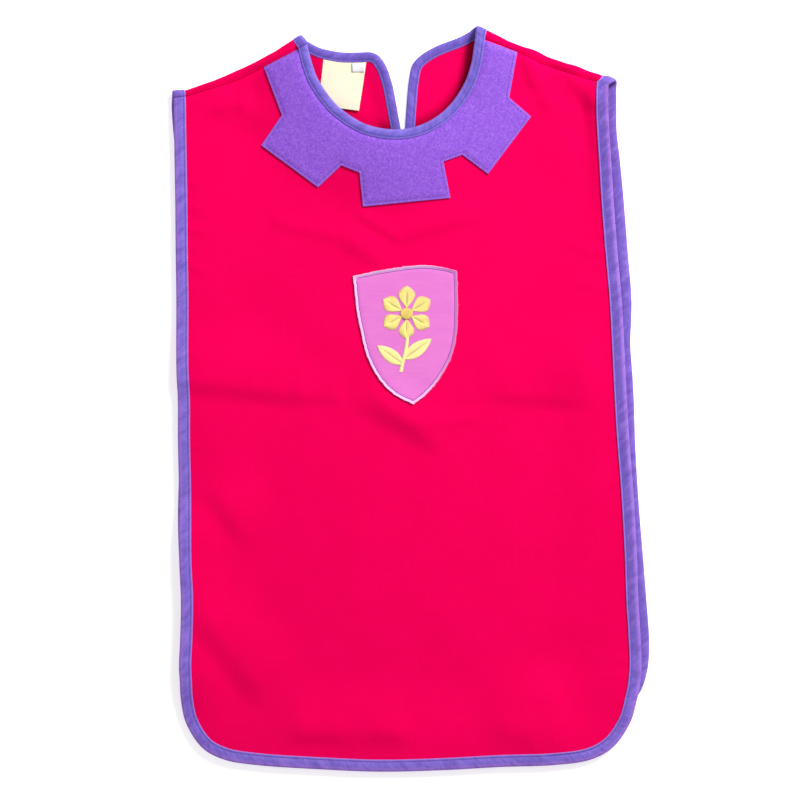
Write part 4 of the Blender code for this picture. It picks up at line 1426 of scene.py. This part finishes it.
# Labels, the larger one up to the leg of the neck tape at the left of the slit
LABEL_GAP = 0.25
LABEL_FREE = (258.0, 292.0)
LABEL_RISE = 1.6
LABEL_WAVE = 0.5
LABEL_RIM = 0.4
tape_line = back_neck.at(NECK_WIDTH + LABEL_GAP)
tape_line = tape_line[(tape_line[:, 1] > 290) & (tape_line[:, 0] < -30)]
tape_line = tape_line[np.argsort(tape_line[:, 0])]
across = np.linspace(LABEL_CORNERS[0][0], LABEL_CORNERS[1][0], 27)
label_top = np.column_stack((across, np.interp(across, tape_line[:, 0], tape_line[:, 1])))
label_outline = dense([*label_top, *LABEL_CORNERS[2:], label_top[0]], 1.5)


def shape_label(flat):
    """Standing up a little towards its free end."""
    flat = flat.copy()
    free = ease(flat[:, 1], *LABEL_FREE)
    flat[:, 2] += LABEL_RISE * free + LABEL_WAVE * free * np.sin(flat[:, 0] / 9.0)
    return flat


label_rim = inset(label_outline, LABEL_RIM, True)
label = as_piece("label", flat_sheet(label_outline, [label_rim], LABEL_WALL, 0.0, 2.0), lay_back,
                 LABEL_FINISH, shape=shape_label)
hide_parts("neck_label")


def tab_piece():
    """The small tab: a strip folded in half, both ends sewn in at the neck."""
    (x0, y0), (x1, _), (_, y2), _ = TAB_CORNERS
    drop = y0 - y2
    bm = bmesh.new()
    bmesh.ops.create_grid(bm, x_segments=8, y_segments=len(TAB_OUTER) - 1, size=1)
    mark = bm.verts.layers.int.new("inner")
    for v in grown(bm, (0, 0, 0)):
        v[mark] = 1
    for v in bm.verts:
        skin = TAB_INNER if v[mark] else TAB_OUTER
        part, less, n = skin[round((v.co.y + 1) / 2 * (len(skin) - 1))]
        down = drop * part - less
        share = (v.co.x + 1) / 2
        v.co = (x0 + (x1 - x0) * share - TAB_TAPER * down / drop * share, y0 - down, n)
    bmesh.ops.recalc_face_normals(bm, faces=bm.faces)
    return as_piece("tab", bm, lay_back, TAB_FINISH)


tab = tab_piece()
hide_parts("size_tab")


# Sewing
def sew(name, path, n, lay, pitch=2.6, length=2.05, radius=(0.26, 0.20)):
    """The stitches of one thread along a flat path."""
    return threads(name, stitch_ends(path, n, pitch, length), lay, SEWING_FINISH,
                   radius, 0.10, -0.02)


OVER_TAPE = MID + 0.90
UNDER_TAPE = MID - 1.08
front_edge_line = front_side.at(EDGE_WIDTH - SEWN)
back_edge_line = back_side.at(EDGE_WIDTH - SEWN)
front_neck_line = front_neck.at(NECK_WIDTH - SEWN)
back_neck_line = back_neck.at(NECK_WIDTH - SEWN)
FELT_SEWN = FELT_WALL[0] + (FELT_WALL[1] - FELT_WALL[0]) * 0.68
sew("front_edge_stitches", front_edge_line, OVER_TAPE, lay_front)
sew("front_edge_stitches_under", front_edge_line, UNDER_TAPE, lay_front)
sew("back_edge_stitches", back_edge_line, OVER_TAPE, lay_back)
sew("back_edge_stitches_under", back_edge_line, UNDER_TAPE, lay_back)
sew("neck_stitches", front_neck_line, OVER_TAPE + NECK_OVER, lay_front)
sew("back_neck_stitches", back_neck_line, OVER_TAPE, lay_back)
sew("back_neck_stitches_under", back_neck_line, UNDER_TAPE, lay_back)
collar_stitches = sew("collar_stitches", collar_sewn, FELT_SEWN, lay_front)


# Embroidery on the shield: a six-petalled flower with a stem and two leaves. Each petal or leaf is
# filled with slanting threads on both sides of its midrib.
THREAD = (0.32, 0.20)
THREAD_STEP = 0.52
FLOWER = (-2.5, 76.0)
HEART = 5.6
PETALS = (
    # turn from upright, length, half width
    (0.00, 20.4, 7.8),
    (1.03, 20.0, 7.6),
    (2.10, 19.0, 7.7),
    (3.16, 18.2, 7.4),
    (4.21, 19.2, 7.7),
    (5.25, 20.2, 7.6),
)
STEM = ((-2.0, 54.0), (-2.6, 48.0), (-4.2, 39.0), (-6.4, 31.0), (-7.8, 23.5))
STEM_HALF = 1.7
LEAVES = (
    # across, up of the foot, turn from upright, length, half width
    (-6.2, 30.6, -0.95, 28.0, 6.2),
    (-4.6, 35.4, 0.94, 30.0, 6.5),
)
PATCH_TOP = PATCH_WALL[1]

# Threads of a petal or leaf: where it is widest, how far they lean, how ragged its edge is, how
# short they get at its tips, and how far they pass its midrib
PETAL_FULLEST = 0.62
LEAF_FULLEST = 0.45
THREAD_LEAN = 0.62
THREAD_RAGGED = 0.12
THREAD_SHORTEST = 0.35
PAST_MIDRIB = 0.15
STEM_LEAN = 0.7
STEM_RISE = 0.12
HEART_RISE = 0.25
HEART_DOME = 0.5


def blade(foot, turn, length, half, fullest, rng):
    """The ends of the threads of a petal or leaf, widest at a share of its length."""
    way = np.array((math.sin(turn), math.cos(turn)))
    side = np.array((way[1], -way[0]))
    power = math.log(0.5) / math.log(fullest)

    def edge(at):
        return half * math.sin(math.pi * min(max(at / length, 0), 1) ** power) ** 0.75

    ends = []
    at = 0.3
    while at < length - 0.5:
        for turned in (-1, 1):
            far = min(at + THREAD_LEAN * edge(at), length - 0.1)
            ragged = rng.uniform(-THREAD_RAGGED, THREAD_RAGGED)
            reach = max(edge(far) + ragged, THREAD_SHORTEST)
            one = foot + way * at - side * turned * PAST_MIDRIB
            two = foot + way * far + side * turned * reach
            ends.append(((*one, PATCH_TOP), (*two, PATCH_TOP)))
        at += THREAD_STEP
    return ends


def flower():
    """The ends of the threads of the petals, of the leaves and stem, and of the heart."""
    rng = random.Random(3)
    petals = []
    for turn, length, half in PETALS:
        foot = np.array(FLOWER) + np.array((math.sin(turn), math.cos(turn))) * (HEART - 1.0)
        petals += blade(foot, turn, length, half, PETAL_FULLEST, rng)
    leaves = []
    for x, y, turn, length, half in LEAVES:
        leaves += blade(np.array((x, y)), turn, length, half, LEAF_FULLEST, rng)
    line = resample(spline(STEM, 8), THREAD_STEP)
    for point, way in zip(line, inward(line)):
        lean = np.array((-way[1], way[0])) * STEM_LEAN
        leaves.append(((*(point - way * STEM_HALF - lean), PATCH_TOP + STEM_RISE),
                       (*(point + way * STEM_HALF + lean), PATCH_TOP + STEM_RISE)))
    heart = []
    x = 0.3 - HEART
    while x < HEART - 0.2:
        half = math.sqrt(HEART**2 - x * x)
        high = PATCH_TOP + HEART_RISE + HEART_DOME * (1 - (x / HEART)**2)
        heart.append([(FLOWER[0] + x, FLOWER[1] + end, high) for end in (-half, half)])
        x += THREAD_STEP
    return petals, leaves, heart


design = [
    threads(name, ends, lay_front, finish, THREAD, arch, 0.05, full=1.5, rings=6)
    for name, ends, finish, arch in zip(
        ("embroidered_petals", "embroidered_leaves", "embroidered_heart"), flower(),
        (GOLD_FINISH, PALE_GOLD_FINISH, HEART_FINISH), (0.42, 0.36, 0.55))]
shield_stitches = sew("shield_stitches", resample(shield_sewn, 0.5), PATCH_TOP - 0.24, lay_front,
                      pitch=2.2, length=1.9, radius=(0.34, 0.24))


FRAY_COUNT = 150
FRAY_LENGTH = (1.1, 2.4)
FRAY_SLANT = (-1.6, 1.6)
FRAY_RADIUS = (0.13, 0.13)


def frays():
    """Loose thread ends along the shield's overcast edge."""
    rng = random.Random(21)
    path = resample(shield_ring, 0.5)
    into = inward(path)
    out = []
    for _ in range(FRAY_COUNT):
        k = rng.randrange(20, len(path) - 20)
        start = path[k] + into[k] * 0.9
        way = -into[k] + rng.uniform(*FRAY_SLANT) * np.array((into[k][1], -into[k][0]))
        end = start + unit(way) * rng.uniform(*FRAY_LENGTH)
        out.append(((*start, PATCH_TOP + 0.55), (*end, PATCH_TOP + 0.1)))
    return out


FRAY_FINISH = thread_finish("Pale lilac thread", FRAY_LILAC, LILAC, 0.2)
fray = threads("shield_frays", frays(), lay_front, FRAY_FINISH, FRAY_RADIUS, 0.15,
               0.0)


for piece, edges in ((edge_tape, (front_side, back_side)), (neck_tape, (front_neck, back_neck))):
    sum(e.along[-1] for e in edges) * MM

# Floor, light and camera
FLOOR_COLOUR = (0.92, 0.92, 0.92, 1)
FLOOR_GLOW = (1.0, 0.975, 0.950, 1)
FLOOR_GLOW_STRENGTH = 0.53
FLOOR_BELOW = 0.0002
STUDIO_STRENGTH = 0.45
KEY_PLACE = (1.25, 1.55, 1.55)
KEY_SIZE = 0.8
KEY_POWER = 74.0
VIEW_CENTRE = (-8.55, -1.8)
VIEW_WIDTH = 720.0
VIEW_TOP = 5.0
LENS = 120.0
SENSOR = 36.0

floor_finish = Finish("Pale floor", Roughness=0.9, Specular_IOR_Level=0.0)
floor_finish.shader.inputs["Base Color"].default_value = FLOOR_COLOUR
floor_finish.shader.inputs["Emission Color"].default_value = FLOOR_GLOW
floor_finish.shader.inputs["Emission Strength"].default_value = FLOOR_GLOW_STRENGTH
bm = bmesh.new()
bmesh.ops.create_grid(bm, x_segments=1, y_segments=1, size=4.0)
bmesh.ops.translate(bm, verts=bm.verts, vec=(0, 0, -FLOOR_BELOW))
floor_mesh = bpy.data.meshes.new("floor")
bm.to_mesh(floor_mesh)
bm.free()
floor_mesh.materials.append(floor_finish.material)
floor = bpy.data.objects.new("floor", floor_mesh)
bpy.context.collection.objects.link(floor)

world = bpy.data.worlds.new("studio")
world.use_nodes = True
world.node_tree.nodes["Background"].inputs["Color"].default_value = (1, 1, 1, 1)
world.node_tree.nodes["Background"].inputs["Strength"].default_value = STUDIO_STRENGTH
bpy.context.scene.world = world

# One square soft box at the upper right, that looks at the garment's middle
key_data = bpy.data.lights.new("key", "AREA")
key_data.size = KEY_SIZE
key_data.energy = KEY_POWER
key = bpy.data.objects.new("key", key_data)
key.location = KEY_PLACE
key.rotation_euler = (-Vector(KEY_PLACE)).to_track_quat("-Z", "Y").to_euler()
bpy.context.collection.objects.link(key)

bpy.context.scene.view_settings.view_transform = "Standard"

camera_data = bpy.data.cameras.new("camera")
camera_data.lens = LENS
camera_data.sensor_width = SENSOR
camera = bpy.data.objects.new("camera", camera_data)
camera.location = ((VIEW_CENTRE[0] - CENTRE[0]) * MM, (VIEW_CENTRE[1] - CENTRE[1]) * MM,
                   (VIEW_WIDTH * LENS / SENSOR + VIEW_TOP) * MM)
bpy.context.collection.objects.link(camera)
bpy.context.scene.camera = camera
